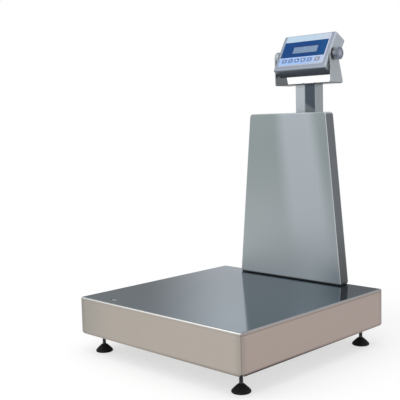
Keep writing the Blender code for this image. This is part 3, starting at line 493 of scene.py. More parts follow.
def face_points(node):
    """A node's points counted right, up and out from the indicator's pivot."""
    return (points_of(node) - PIVOT) @ FACE.T


def face_span(node):
    """Lowest and highest corner of a node along the indicator's own directions."""
    return face_points(node).min(0), face_points(node).max(0)


# Finishes

class Value:
    """An output on a shader tree. Arithmetic with it lays the nodes that work it out."""

    def __init__(self, board, socket):
        self.board, self.socket = board, socket

    def math(self, operation, other=0.0, clamp=False):
        """Arithmetic that has no sign of its own."""
        return self.board.lay("Math", {0: self, 1: other}, operation=operation, use_clamp=clamp)

    def __add__(self, other):
        return self.math("ADD", other)

    def __sub__(self, other):
        return self.math("SUBTRACT", other)

    def __mul__(self, other):
        return self.math("MULTIPLY", other)

    def __truediv__(self, other):
        return self.math("DIVIDE", other)

    def __abs__(self):
        return self.math("ABSOLUTE")

    def reach(self, other):
        """Distance from the middle, from two numbers that lie across each other."""
        return (self * self + other * other).math("SQRT")

    def step(self, low, high):
        """Smooth step from 0 at low to 1 at high."""
        return self.board.lay("MapRange", {"Value": self, "From Min": low, "From Max": high},
                              interpolation_type="SMOOTHSTEP")

    def window(self, low, high, soft):
        """1 between low and high, falling to 0 over soft on both sides."""
        return self.step(low - soft, low + soft) * self.step(high + soft, high - soft)

    def between(self, low, high):
        """The share from 0 to 1 as a value between low and high."""
        return self.board.lay("MapRange", {"Value": self, "To Min": low, "To Max": high})

    def shading(self, colour):
        """A colour made lighter or darker by this number."""
        return self.board.lay("VectorMath", {0: colour, 3: self}, operation="SCALE")


class Board:
    """Short calls that lay nodes on a shader tree."""

    def __init__(self, tree):
        self.tree = tree

    def put(self, socket, value):
        """Link a socket, or set its value. Colours get their fourth number here."""
        if isinstance(value, Value):
            self.tree.links.new(value.socket, socket)
        elif socket.type == "RGBA":
            socket.default_value = (*tuple(value)[:3], 1.0)
        else:
            socket.default_value = value

    def lay(self, kind, inputs=None, out=0, **settings):
        """One node with its settings and inputs. Returns one output, several by name, or all."""
        made = self.tree.nodes.new("ShaderNode" + kind)
        for key, value in settings.items():
            setattr(made, key, value)
        for key, value in (inputs or {}).items():
            self.put(made.inputs[key], value)
        if isinstance(out, (int, str)):
            return Value(self, made.outputs[out])
        return [Value(self, made.outputs[key]) for key in out or range(len(made.outputs))]

    def mix(self, share, first, second):
        """Mix of two colours."""
        return self.lay("Mix", {0: share, 6: first, 7: second}, 2, data_type="RGBA")

    def paint(self, colour, *coats):
        """A colour with coats over it, each given by its share and its colour."""
        for share, coating in coats:
            colour = self.mix(share, colour, coating)
        return colour

    def apart(self, vector):
        """The three numbers of a vector."""
        return self.lay("SeparateXYZ", {"Vector": vector}, None)

    def stretch(self, vector, scales):
        """A vector with each of its numbers scaled."""
        return self.lay("VectorMath", {0: vector, 1: scales}, operation="MULTIPLY")

    def noise(self, vector, scale, detail=3.0, rough=0.5):
        """Noise value."""
        return self.lay("TexNoise", {"Vector": vector, "Scale": scale, "Detail": detail,
                                     "Roughness": rough}, "Fac")


class Finish(Board):
    """One material with its Principled shader, object coordinates and the shared groups."""

    def __init__(self, name, rough=0.4, metal=0.0, **sockets):
        self.material = bpy.data.materials.new(name)
        self.material.use_nodes = True
        super().__init__(self.material.node_tree)
        self.shader = self.tree.nodes["Principled BSDF"]
        for key, value in {"Roughness": rough, "Metallic": metal, **sockets}.items():
            self.put(self.shader.inputs[key.replace("_", " ")], value)
        self.place, self.normal = self.lay("TexCoord", out=("Object", "Normal"))

    def axes(self, names):
        """Object coordinates x, y, z and the surface's direction nx, ny, nz, by their names."""
        numbers = (*self.apart(self.place), *self.apart(self.normal))
        found = dict(zip(("x", "y", "z", "nx", "ny", "nz"), numbers))
        return [found[name] for name in names.split()]

    def shared(self, name, **inputs):
        """All outputs of one of the shared groups, with this material's own values."""
        return self.lay("Group", inputs, None, node_tree=bpy.data.node_groups[name])

    def grain(self, lines):
        """Streaks and height of brush lines."""
        return self.shared("brushed_grain", Place=self.place, Lines=lines)

    def marks(self, scale):
        """Clouds, smudges and scratches."""
        return self.shared("surface_marks", Place=self.place, Scale=scale)

    def moulded(self, scale):
        """Height and shade of moulded grain."""
        return self.shared("moulded_grain", Place=self.place, Scale=scale)

    def line(self, value, centre, width):
        """Soft line where a value passes its centre."""
        return self.shared("soft_line", Value=value, Centre=centre, Width=width)[0]

    def dust(self):
        """Dust on what faces up."""
        return self.shared("settled_dust", Place=self.place, Facing=self.normal)[0]

    def done(self, colour, rough, height=None, strength=0.3, distance=0.0002):
        """Feed the shader and return the material."""
        self.put(self.shader.inputs["Base Color"], colour)
        self.put(self.shader.inputs["Roughness"], rough)
        if height:
            bump = self.lay("Bump", {"Height": height, "Strength": strength,
                                     "Distance": distance})
            self.put(self.shader.inputs["Normal"], bump)
        return self.material


def new_group(name, inputs, outputs, lay):
    """A shared shader group. Inputs are (name, kind, default), and lay returns its outputs."""
    group = bpy.data.node_groups.new(name, "ShaderNodeTree")
    for label, kind, value in inputs:
        socket = group.interface.new_socket(label, in_out="INPUT", socket_type="NodeSocket" + kind)
        if value is not None:
            socket.default_value = value
    for label in outputs:
        group.interface.new_socket(label, in_out="OUTPUT", socket_type="NodeSocketFloat")
    board = Board(group)
    entry = group.nodes.new("NodeGroupInput").outputs
    leave = group.nodes.new("NodeGroupOutput").inputs
    results = lay(board, *[Value(board, entry[item[0]]) for item in inputs])
    for label, value in zip(outputs, results):
        board.put(leave[label], value)


def lay_grain(board, place, lines):
    """Long fine brush lines: noise on coordinates squeezed across the brushing direction."""
    squeezed = board.stretch(place, lines)
    wide = board.noise(board.stretch(squeezed, (0.12, 0.12, 0.12)), 1.0, 2.0, 0.5)
    fine = board.noise(squeezed, 1.0, 3.0, 0.65)
    return wide * 0.45 + fine * 0.55, fine


def lay_marks(board, place, scale):
    """Large soft clouds, handling smudges, and thin stray scratches."""
    cloud = board.noise(place, scale, 2.0, 0.5)
    smudge = board.noise(place, scale * 4.0, 4.0, 0.6).step(0.52, 0.72)
    waves = board.lay("TexWave", {"Vector": place, "Distortion": 14.0, "Detail": 3.0,
                                  "Scale": scale * 9.0}, "Fac")
    broken = board.noise(place, scale * 7.0).step(0.60, 0.70)
    return cloud, smudge, waves.step(0.985, 1.0) * broken


def lay_moulded(board, place, scale):
    """Fine moulded grain with slow changes in shade."""
    fine = board.lay("TexVoronoi", {"Vector": place, "Scale": scale}, "Distance",
                     feature="SMOOTH_F1")
    return fine, board.noise(place, scale * 0.05, 3.0)


def lay_line(board, value, centre, width):
    """Soft line where a value passes its centre."""
    return ((abs(value - centre) / width).step(1.0, 0.0),)


def lay_dust(board, place, facing):
    """Dust on what faces up, thicker where a slow noise is high."""
    patch = board.noise(place, 18.0, 5.0, 0.6).step(0.42, 0.78)
    return (board.apart(facing)[2].step(0.55, 0.95) * patch,)


def build_groups():
    """Make the shared groups once."""
    place = ("Place", "Vector", None)
    new_group("brushed_grain", [place, ("Lines", "Vector", (20.0, 2200.0, 2200.0))],
              ("Streaks", "Height"), lay_grain)
    new_group("surface_marks", [place, ("Scale", "Float", 4.0)],
              ("Cloud", "Smudge", "Scratch"), lay_marks)
    new_group("moulded_grain", [place, ("Scale", "Float", 2500.0)], ("Height", "Shade"),
              lay_moulded)
    new_group("soft_line", [("Value", "Float", 0.0), ("Centre", "Float", 0.0),
                            ("Width", "Float", 0.002)], ("Mask",), lay_line)
    new_group("settled_dust", [place, ("Facing", "Vector", None)], ("Mask",), lay_dust)


def brushed(finish, colour, lines, rough=0.34, contrast=0.16, marks=4.0):
    """Brushed steel over a colour: streaks, clouds, smudges and scratches, then the shader."""
    streaks, height = finish.grain(lines)
    cloud, smudge, scratch = finish.marks(marks)
    shade = streaks.between(1.0 - contrast, 1.0 + contrast) * cloud.between(0.95, 1.05)
    colour = finish.mix(scratch * 0.12, shade.shading(colour), tone(214, 214, 212))
    level = streaks.between(rough - 0.06, rough + 0.06) + smudge * 0.05
    return finish.done(colour, level, height, 0.25, 0.00005)


def steel(name, colour, lines, rough=0.34, **more):
    """Plain brushed steel of one colour."""
    return brushed(Finish(name, metal=1.0), tuple(colour), lines, rough, **more)


def pan_finish(looks):
    """Polished top and brushed skirts, with painted highlights on the bends and painted shade on
    the side skirts, the corners and in the dark line under the skirts.
    """
    finish = Finish("pan_steel", metal=1.0, Specular_Tint=(0.80, 0.82, 0.84))
    x, y, z, nx, nz = finish.axes("x y z nx nz")
    low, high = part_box("pan")
    deep = y - (low.y + high.y) / 2
    top = nz.step(0.75, 0.97)
    sideways = abs(nx).step(0.45, 0.75)
    # Painted shade towards the skirts' left end.
    left_end_shade = x.step(-0.14, -0.30) * 0.55
    # Painted shade near the upright corners.
    corner = (abs(x) + abs(deep)).step(0.575, 0.598)
    # Painted shade: a dark line on the rounded upright edges.
    edge = abs(nx).window(0.58, 0.82, 0.10) * abs(nz).step(0.25, 0.10)
    # Painted highlight along the top bends.
    bend = finish.line(z, high.z - 0.0022, 0.0026)
    lit = finish.mix(sideways, tone(208, 212, 212), tone(150, 150, 156))
    # Painted shade just under the bend on the side skirts.
    under_bend_shade = finish.line(z, high.z - 0.0072, 0.0022) * sideways.between(0.15, 0.75)
    # Painted shade: a dark line along the skirts' foot, strongest on the side skirts towards the
    # front right.
    near = (x - deep).step(0.05, 0.50).between(0.35, 1.0)
    rim = finish.line(z, low.z, 0.0080) * sideways.between(0.45, 1.0) * near
    # The side skirts get a darker, pinker tone as painted shade.
    colour = finish.paint(
        looks.skirt_front,
        (left_end_shade, tone(152, 150, 143)),
        (sideways, looks.skirt_side_shade),
        (corner * 0.30, tone(124, 120, 118)),
        (edge * 0.75, tone(92, 86, 84)),
        (bend * 0.85, lit),
        (under_bend_shade, tone(112, 108, 104)),
        (rim, tone(52, 44, 42)),
        (top, looks.pan_top))
    streaks = finish.lay("Mix", {0: sideways, 2: finish.grain(LINES_X)[0],
                                 3: finish.grain(LINES_Y)[0]}, data_type="FLOAT")
    cloud, smudge = finish.marks(3.0)[:2]
    shade = (top.between(0.07, 0.03) * streaks.between(-1.0, 1.0) + 1.0) * cloud.between(0.96, 1.04)
    colour = finish.mix(finish.dust() * 0.03, shade.shading(colour), tone(190, 188, 182))
    rough = top.between(0.34, 0.10) + smudge * 0.03
    return finish.done(colour, rough, streaks * top.between(1.0, 0.10), 0.25, 0.00005)


def column_finish(looks):
    """Satin guard with painted light and shade: a lit band and a lighter lower part on its face,
    shade to its right edge, lower right corner and sides, and highlights on its right folds.
    """
    finish = Finish("guard_steel", metal=0.65)
    x, z, nx = finish.axes("x z nx")
    low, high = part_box("guard_shell")
    tall = (z - low.z) / (high.z - low.z)
    share = x / tall.between(*taper_of("guard_shell"))
    lean = share - tall.between(0.38, 0.0)
    # Painted light: a soft lit band up the guard's face, leaning with its taper.
    band = lean.step(-0.40, -0.02) * lean.step(0.80, 0.48) * z.step(0.17, 0.34).between(0.30, 1.0)
    # Painted shade in the lower right corner of the face.
    dim_corner = share.step(0.45, 1.0) * z.step(0.26, 0.17)
    # Painted shade on the guard's sides, darker towards the bottom.
    side = finish.mix(z.step(0.36, 0.17), looks.column_side_shade, tone(80, 82, 84))
    face = finish.paint(
        looks.column,
        (band, looks.column_light),
        # Painted shade towards the face's right edge.
        (share.step(0.70, 0.98) * 0.45, tone(128, 137, 143)),
        # Painted light on the lower part of the face.
        (z.step(0.60, 0.18) * 0.60, tone(184, 191, 195)),
        (dim_corner * 0.45, tone(96, 108, 118)),
        (abs(nx).step(0.55, 0.9), side),
        # Painted highlight on the fold to the right side.
        (nx.window(0.35, 0.80, 0.15) * 0.65, tone(214, 218, 220)))
    return brushed(finish, face, LINES_Z, 0.46, contrast=0.06, marks=3.0)


def post_finish(looks):
    """Post with a painted reflection: a dark band on the right half of its front face, paler below
    a slanting line, and painted shade on its right side face.
    """
    finish = Finish("post_steel", metal=1.0)
    x, z, nx, ny = finish.axes("x z nx ny")
    # Painted reflection: a dark band, paler below a slanting line.
    dark = finish.mix((z + x * 0.57).step(0.680, 0.694), tone(108, 116, 120), looks.post_reflection)
    half = ny.step(-0.6, -0.9) * x.window(-0.002, 0.0365, 0.003)
    # Painted reflection on the right half of the front face, and painted shade on the right side
    # face.
    face = finish.paint(looks.post_light, (half, dark), (nx.step(0.6, 0.9), tone(146, 153, 156)))
    return brushed(finish, face, LINES_Z, 0.30, contrast=0.07)


def shell_finish(name, looks):
    """Indicator shell: brushed across, with painted shade on its front face and underneath."""
    finish = Finish(name, metal=0.6)
    ny, nz = finish.apart(finish.normal)[1:]
    facing = ny * FACE_OUT[1] + nz * FACE_OUT[2]
    # Painted shade: a deeper tone where the shell faces out of the indicator's front, and on the
    # faces turned down.
    tint = finish.paint(looks.housing, (facing.step(0.55, 0.95), looks.bezel_shade),
                        (nz.step(0.20, -0.65), tone(86, 95, 103)))
    return brushed(finish, tint, LINES_X, 0.34, contrast=0.07)


def yoke_finish(looks):
    """Yoke plate with painted light on the inner faces of its heads, and painted shade on its left
    inner face, front edge and underside.
    """
    finish = Finish("yoke_steel", metal=0.45)
    x, z, nx, ny, nz = finish.axes("x z nx ny nz")
    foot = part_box("yoke")[0].z
    rise = z - PIVOT[2]
    inward = (nx * x.math("SIGN")).step(-0.6, -0.9)
    # Painted light on the inner faces of both arms near their heads.
    head = inward * rise.step(-0.030, -0.015)
    # Painted shade on the left arm's inner face below its head.
    inner = inward * x.step(0.0, -0.05) * rise.step(-0.015, -0.035)
    # Painted shade on the front edge of the base.
    edge = ny.step(-0.6, -0.9) * z.step(foot + 0.005, foot + 0.004)
    # Painted shade also on the faces turned down.
    tint = finish.paint(looks.yoke, (head, tone(200, 206, 210)), (inner, tone(112, 117, 121)),
                        (edge, tone(70, 75, 80)), (nz.step(-0.4, -0.8), tone(48, 52, 56)))
    return brushed(finish, tint, LINES_X, 0.30, contrast=0.07)


def plastic(name, colour, rough=0.45, grain=2500.0, depth=0.25, light=1.35):
    """Moulded plastic or rubber with fine grain and a little dust."""
    finish = Finish(name, rough=rough)
    height, shade = finish.moulded(grain)
    pale = tuple(min(1.0, v * light + 0.004) for v in colour)
    tint = finish.paint(colour, (shade, pale), (finish.dust() * 0.10, tone(150, 146, 138)))
    return finish.done(tint, shade.between(rough - 0.06, rough + 0.10), height, depth, 0.0002)


def face_places(finish):
    """Coordinates right and up from the indicator's pivot, whatever its tilt."""
    turn = Matrix(FACE.tolist())
    turned_back = finish.lay("Mapping", {
        "Vector": finish.place, "Location": tuple(-(turn @ Vector(PIVOT))),
        "Rotation": tuple(turn.to_euler())}, vector_type="POINT")
    return finish.apart(turned_back)[:2]


def overlay_finish(prints):
    """Printed film: pale key strip, blue panel with pale rules, frame, and pale top strip."""
    finish = Finish("overlay_film", rough=0.34, Specular_IOR_Level=0.05)
    x, y = face_places(finish)
    foot = face_span("overlay")[0][1] - 0.0145
    panel_foot, panel_top = foot + 0.0446, foot + 0.1025
    low, high = face_span("display_window")
    panel = y.window(panel_foot, panel_top, 0.0006) * x.window(-0.0842, 0.0795, 0.0005)
    blue = finish.mix(x.step(0.02, 0.085), prints.panel, tone(14, 72, 124))
    rim = (x.window(low[0] - 0.0035, high[0] + 0.0035, 0.0004)
           * y.window(low[1] - 0.0030, high[1] + 0.0030, 0.0004))
    rules = finish.line(y, panel_foot, 0.0012).math("ADD", finish.line(y, panel_top, 0.0012), True)
    height, shade = finish.moulded(1800.0)
    cloud, smudge = finish.marks(9.0)[:2]
    base = finish.paint(
        prints.key_strip,
        (y.step(foot + 0.1020, foot + 0.1030), prints.top_strip),
        (x.step(0.0, 0.085) * 0.50, tone(192, 194, 204)),
        (x.step(0.0780, 0.0790), tone(186, 190, 210)),
        (y.step(foot + 0.0198, foot + 0.0188), tone(168, 176, 190)),
        (panel, blue),
        (rim * 0.35, tone(20, 44, 100)),
        (rules * 0.7, tone(226, 234, 242)),
        (cloud * 0.02, tone(180, 196, 214)))
    return finish.done(base, shade.between(0.26, 0.36) + smudge * 0.10, height, 0.12, 0.0001)


def key_finish(prints):
    """Key film: a pale rim round a darker cap, and a greyer sixth key."""
    finish = Finish("key_film", rough=0.38, Specular_IOR_Level=0.2)
    x, y = face_places(finish)
    low, high = face_span("key_1")
    rim = abs(y - (low[1] + high[1]) / 2).step(0.0050, 0.0060)
    last = face_span("key_6")[0][0]
    height, shade = finish.moulded(2200.0)
    tint = finish.paint(prints.keys, (x.step(last - 0.004, last - 0.002), tone(138, 138, 152)),
                        (rim * 0.35, tone(170, 190, 220)), (shade * 0.15, tone(70, 92, 130)))
    return finish.done(tint, shade.between(0.32, 0.46), height, 0.15, 0.0001)


def display_finish(prints):
    """Window: pale, with a dark frame and a soft gradient."""
    finish = Finish("display_window", rough=0.14, Specular_IOR_Level=0.12)
    x, y = face_places(finish)
    low, high = face_span("display_window")
    inner = (x.window(low[0] + 0.0030, high[0] - 0.0030, 0.0008)
             * y.window(low[1] + 0.0028, high[1] - 0.0028, 0.0008))
    slope = finish.mix(x.step(low[0], high[0]), prints.display, tone(122, 144, 170))
    cloud, smudge = finish.marks(14.0)[:2]
    tint = finish.paint(tone(40, 66, 116), (inner, slope), (cloud * 0.10, tone(120, 140, 170)))
    return finish.done(tint, smudge.between(0.08, 0.16))


def board_finish():
    """Circuit board: green mask with lighter tracks and small raised pads."""
    finish = Finish("circuit_board", rough=0.40)
    x, y = face_places(finish)
    flat = finish.lay("CombineXYZ", {"X": x, "Y": y})
    tracks = finish.lay("TexBrick", {"Vector": flat, "Scale": 90.0, "Mortar Size": 0.05,
                                     "Color1": tone(22, 92, 44), "Color2": tone(18, 80, 38),
                                     "Mortar": tone(44, 128, 66)}, "Color")
    spots = finish.lay("TexVoronoi", {"Vector": flat, "Scale": 260.0}, "Distance")
    pads = spots.step(0.16, 0.10)
    tint = finish.mix(pads * 0.8, tracks, tone(196, 190, 170))
    return finish.done(tint, pads.between(0.42, 0.25), spots.step(0.2, 0.0), 0.2, 0.0001)


def vial_finish():
    """Bubble level: clear grey liquid with a dark ring and a pale bubble."""
    finish = Finish("level_vial", rough=0.12, Coat_Weight=0.2)
    x, y = finish.apart(finish.place)[:2]
    centre = middle_of("level_vial")
    across, deep = x - centre[0], y - centre[1]
    reach = across.reach(deep)
    bubble = (across - 0.0006).reach(deep - 0.0004)
    liquid = finish.paint(
        tone(120, 128, 128),
        (reach.step(0.0, 0.009), tone(100, 108, 112)),
        (bubble.step(0.0034, 0.0030), tone(158, 166, 166)),
        (finish.line(bubble, 0.0032, 0.0004) * 0.6, tone(84, 92, 90)),
        (finish.line(reach, 0.0042, 0.0006), tone(62, 68, 68)))
    return finish.done(liquid, finish.marks(60.0)[1].between(0.06, 0.14))


def knob_finish():
    """Knob plastic: grey, with a black flange beside the arm carried over the inner half of the
    grip as painted shadow, a painted highlight in the middle, painted shade on the sides of the
    lobes and slightly lighter lobe tips.
    """
    finish = Finish("knob_plastic", rough=0.42)
    x, y, z, nx = finish.axes("x y z nx")
    reach = (y - PIVOT[1]).reach(z - PIVOT[2])
    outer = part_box("knob_right")[1].x
    height, shade = finish.moulded(2600.0)
    grip = abs(nx).step(0.6, 0.2) * reach.step(0.0195, 0.0170)
    tint = finish.paint(
        tone(92, 99, 112),
        (shade, tone(118, 126, 141)),
        # Slightly lighter towards the lobes' tips.
        (reach.step(0.0175, 0.0200) * 0.35, tone(134, 141, 152)),
        # Painted highlight at the middle of the knob's end.
        (reach.step(0.0120, 0.0080) * 0.55, tone(160, 168, 182)),
        # Painted shade on the sides of the lobes.
        (grip * 0.8, tone(48, 53, 60)),
        # Black towards the arm: the flange, carried over the inner half of the grip as painted
        # shadow.
        (x.step(outer - 0.0120, outer - 0.0145), tone(20, 21, 24)))
    return finish.done(tint, shade.between(0.36, 0.50), height, 0.3, 0.0002)


def rubber_finish():
    """Black rubber of the feet and pads, grey where it meets the floor."""
    finish = Finish("foot_rubber", rough=0.70, Specular_IOR_Level=0.2)
    height, shade = finish.moulded(1500.0)
    soiled = finish.apart(finish.place)[2].step(0.004, 0.0) * 0.20
    speckle = finish.noise(finish.place, 220.0, 5.0, 0.7)
    tint = finish.paint(tone(12, 12, 13), (shade, tone(26, 27, 28)),
                        (soiled * speckle, tone(110, 106, 98)))
    return finish.done(tint, shade.between(0.60, 0.82), height, 0.4, 0.0003)


def spangle_finish():
    """Zinc spangle on the live frame."""
    finish = Finish("galvanised_tube", metal=1.0)
    cells = finish.lay("TexVoronoi", {"Vector": finish.place, "Scale": 120.0}, "Color")
    shade = finish.apart(cells)[0]
    smudge = finish.marks(8.0)[1]
    tint = finish.paint(tone(150, 154, 156), (shade, tone(184, 188, 190)),
                        (smudge * 0.2, tone(120, 122, 122)))
    return finish.done(tint, shade.between(0.40, 0.56), shade, 0.1, 0.0001)


# Operators, one for each group of pieces

class SCALE_OT_groups(bpy.types.Operator):
    """Make the shader groups that the finishes share"""
    bl_idname = "platform_scale.groups"
    bl_label = "Shared Finishes"

    def execute(self, context):
        build_groups()
        return {"FINISHED"}


class SCALE_OT_pan(bpy.types.Operator):
    """Dress the pan, its level window and the level under it"""
    bl_idname = "platform_scale.pan"
    bl_label = "Pan and Level"

    def execute(self, context):
        smooth_copy("pan", pan_finish(context.scene.platform_scale.steel))
        coat(vial_finish(), "level_vial")
        smooth_copy("level_holder", steel("level_cup_metal", tone(150, 154, 158), LINES_Z, 0.30))
        profile = [(0.01245, -0.0012), (0.01245, 0.00025), (0.01270, 0.0005), (0.01400, 0.0005),
                   (0.01450, 0.0001), (0.01450, -0.0001)]
        place = (*middle_of("level_vial")[:2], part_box("pan")[1].z)
        make("level_window_rim", moved(skin(turned(profile, 48), wrap=True), place),
             steel("level_rim_metal", tone(132, 138, 142), LINES_Z, 0.22), "platform")
        return {"FINISHED"}


class SCALE_OT_column(bpy.types.Operator):
    """Dress the guard, its brackets, the post and their fasteners"""
    bl_idname = "platform_scale.column"
    bl_label = "Guard and Post"

    brackets = ("guard_bracket_lower", "guard_bracket_upper")

    def execute(self, context):
        settings = context.scene.platform_scale
        smooth_copy("guard_shell", column_finish(settings.steel))
        self.edging()
        coat(steel("cover_steel", tone(158, 165, 167), LINES_Z, 0.38), "guard_cover")
        bracket = steel("bracket_steel", tone(150, 156, 158), LINES_X, 0.36)
        for node in self.brackets:
            smooth_copy(node, bracket)
        smooth_copy("post", post_finish(settings.steel))
        steel("fastener_steel", tone(188, 190, 192), LINES_X, 0.24, contrast=0.05)
        self.guard_fasteners(settings.fasteners)
        self.post_fasteners(settings.fasteners)
        return {"FINISHED"}

    def edging(self):
        """Black rubber bead under the guard's sheet. It fills most of the gap over the pan."""
        low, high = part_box("guard_shell")
        radius = (low.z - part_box("pan")[1].z) * 0.42
        inset = 0.002
        ring = rounded_path(high.x - low.x - 2 * inset, high.y - low.y - 2 * inset, 0.003)
        path = lifted(ring, low.z - radius, (0.0, (low.y + high.y) / 2))
        make("guard_edging", along(path, disc_section(radius, 12)),
             plastic("edging_rubber", tone(16, 16, 18), 0.60), "base")

    def guard_fasteners(self, sizes):
        """Cover screws and bracket bolts."""
        low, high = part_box("guard_cover")
        foot, head = taper_of("guard_cover")
        from_edge = 0.011
        places = []
        for share in (0.05, 0.35, 0.65, 0.955):
            z = low.z + (high.z - low.z) * share
            half = foot + (head - foot) * share - from_edge
            places += [((sign * half, high.y, z), BACK) for sign in (-1, 1)]
        fasten("guard_cover_screws", "cross", sizes.cover_screw, places)
        places = []
        for node in self.brackets:
            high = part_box(node)[1]
            y, z = high.y - 0.018, middle_of(node)[2]
            places += [((sign * high.x, y, z + rise), ACROSS * sign)
                       for sign in (-1, 1) for rise in (-0.016, 0.016)]
        fasten("bracket_bolts", "button", sizes.bracket_bolt, places)

    def post_fasteners(self, sizes):
        """Bolts and weld at the post's foot, and the screws at its head."""
        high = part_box("post")[1]
        points = points_of("post")
        flange_top = float(points[np.abs(points[:, 0]) > high.x - 0.001][:, 2].max())
        middle = middle_of("post")[:2]
        width, depth, corner = 0.078, 0.040, 0.004
        places = [((*(middle + [u * 0.030, v * 0.029]), flange_top), UP)
                  for u in (-1, 1) for v in (-1, 1)]
        fasten("flange_bolts", "washer", sizes.flange_bolt, places)
        path = lifted(rounded_path(width, depth, corner), flange_top, middle)
        bead = steel("weld_metal", tone(128, 128, 126), LINES_X, 0.42, contrast=0.25)
        make("post_foot_weld", weld_bead(path, sizes.weld), bead, "base", 80.0)
        front, height = middle[1] - depth / 2, high.z - 0.0073
        places = [((x, front, height), -BACK) for x in (-0.0241, -0.0130)]
        fasten("post_screws", "cross", 0.0018, places)


class SCALE_OT_yoke(bpy.types.Operator):
    """Dress the yoke and its bolts"""
    bl_idname = "platform_scale.yoke"
    bl_label = "Yoke"

    def execute(self, context):
        settings = context.scene.platform_scale
        smooth_copy("yoke", yoke_finish(settings.steel))
        y, z = middle_of("post")[1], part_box("yoke")[0].z + 0.003
        fasten("yoke_bolts", "button", settings.fasteners.bracket_bolt,
               [((x, y, z), UP) for x in (-0.022, 0.022)])
        return {"FINISHED"}


class SCALE_OT_indicator(bpy.types.Operator):
    """Dress the indicator: shells, seal, screws, print, display and keys"""
    bl_idname = "platform_scale.indicator"
    bl_label = "Indicator"

    def execute(self, context):
        settings = context.scene.platform_scale
        prints = settings.prints
        smooth_copy("housing_front", shell_finish("front_shell_steel", settings.steel))
        smooth_copy("housing_back", shell_finish("back_shell_steel", settings.steel))
        coat(overlay_finish(prints), "overlay")
        coat(display_finish(prints), "display_window")
        coat(key_finish(prints), *["key_%d" % i for i in range(1, 7)])
        coat(board_finish(), "circuit_board")
        coat(plastic("module_plastic", tone(70, 74, 78)), "display_module")
        gland = plastic("gland_plastic", tone(34, 35, 38), 0.42)
        for node in ("gland_load_cell", "gland_power"):
            smooth_copy(node, gland, 30.0)
        self.seal()
        self.screws()
        self.digits(prints)
        self.marks(prints)
        return {"FINISHED"}

    def seal(self):
        """Thin dark seal in the joint between the shells."""
        low, high = face_span("housing_front")
        clearance, corner, thin, deep = 0.0008, 0.0056, 0.00024, 0.0012
        ring = rounded_path(high[0] - low[0] - clearance, high[1] - low[1] - clearance, corner)
        path = lifted(ring, low[2] - 0.00015, (0.0, (low[1] + high[1]) / 2)) @ FACE + PIVOT
        section = rectangle(deep, thin) - [deep / 2, 0.0]
        make("housing_seal", along(path, section, FACE_OUT),
             plastic("seal_rubber", tone(30, 31, 33), 0.65), "indicator")

    def screws(self):
        """Six screws on the sloping back."""
        low, high = face_span("housing_back")
        points = face_points("housing_back")
        bend, inset, half_width = 0.004, 0.012, 0.086
        foot = points[np.abs(points[:, 1] - low[1]) < bend + 0.0012][:, 2].min()
        slope = (low[2] - foot) / (high[1] - low[1] - 2 * bend)
        out = -FACE_OUT + slope * FACE_UP
        places = [(face_point(u, v, foot + slope * (v - low[1] - bend)), out)
                  for v in (low[1] + inset, (low[1] + high[1]) / 2, high[1] - inset)
                  for u in (-half_width, half_width)]
        fasten("housing_screws", "cross", 0.0036, places, "indicator")

    def digits(self, prints):
        """Unlit segments of six leaning digits, faint on the window."""
        low, high = face_span("display_window")
        middle = (low + high) / 2
        tall, wide, bar, pitch, lean = 0.0185, 0.0100, 0.0017, 0.0145, 0.09
        foot, top = high[2] + 0.00001, high[2] + 0.00005
        flat = np.array([[-1, 0], [-0.82, 1], [0.82, 1], [1, 0], [0.82, -1], [-0.82, -1]])
        segments = [flat * [wide / 2 - 0.0005, bar / 2] + [0.0, level * (tall - bar) / 2]
                    for level in (-1, 0, 1)]
        segments += [flat[:, ::-1] * [bar / 2, tall / 4 - 0.0006]
                     + [side * (wide - bar) / 2, level * (tall / 4 - 0.0002)]
                     for side in (-1, 1) for level in (-1, 1)]
        forms = [print_plate(segment @ [[1.0, 0.0], [lean, 1.0]]
                             + [middle[0] + (digit - 2.5) * pitch, middle[1]], foot, top)
                 for digit in range(6) for segment in segments]
        shade = tuple(v * 0.90 for v in prints.display)
        make("display_segments", gather(forms),
             plastic("segment_film", shade, 0.2, 2500.0, 0.02, 1.03), "indicator",
             60.0)

    def marks(self, prints):
        """A plain raised print on each key: ring, bar, arrow, square, cross and ring with bar."""
        pale = plastic("key_mark_print", tuple(prints.marks), 0.4, 2500.0, 0.05, 1.0)
        low, high = 0.00001, 0.00006
        ring = lifted(disc_section(0.0026, 28), 0.0) @ FACE
        section = np.array([[-0.0004, low], [0.0004, low], [0.0003, high], [-0.0003, high]])
        bar, upright = rectangle(0.0068, 0.0012), rectangle(0.0012, 0.0068)
        arrow = np.array([[-0.0030, -0.0020], [0.0030, -0.0020], [0.0, 0.0028]])
        short = upright * [1.0, 0.5] + [0.0, 0.0018]
        flats = ((), ((bar, high),), ((arrow, high),), ((rectangle(0.0048, 0.0048), high),),
                 ((bar, high), (upright, 0.00005)), ((short, 0.00007),))
        for i, outlines in enumerate(flats):
            foot, top = face_span("key_%d" % (i + 1))
            origin = face_point(*(foot + top)[:2] / 2, top[2])
            forms = [along(ring + origin, section, FACE_OUT)] if i in (0, 5) else []
            forms += [print_plate(outline, low, height, origin) for outline, height in outlines]
            make("key_mark_%d" % (i + 1), gather(forms), pale, "key_%d" % (i + 1), 60.0)


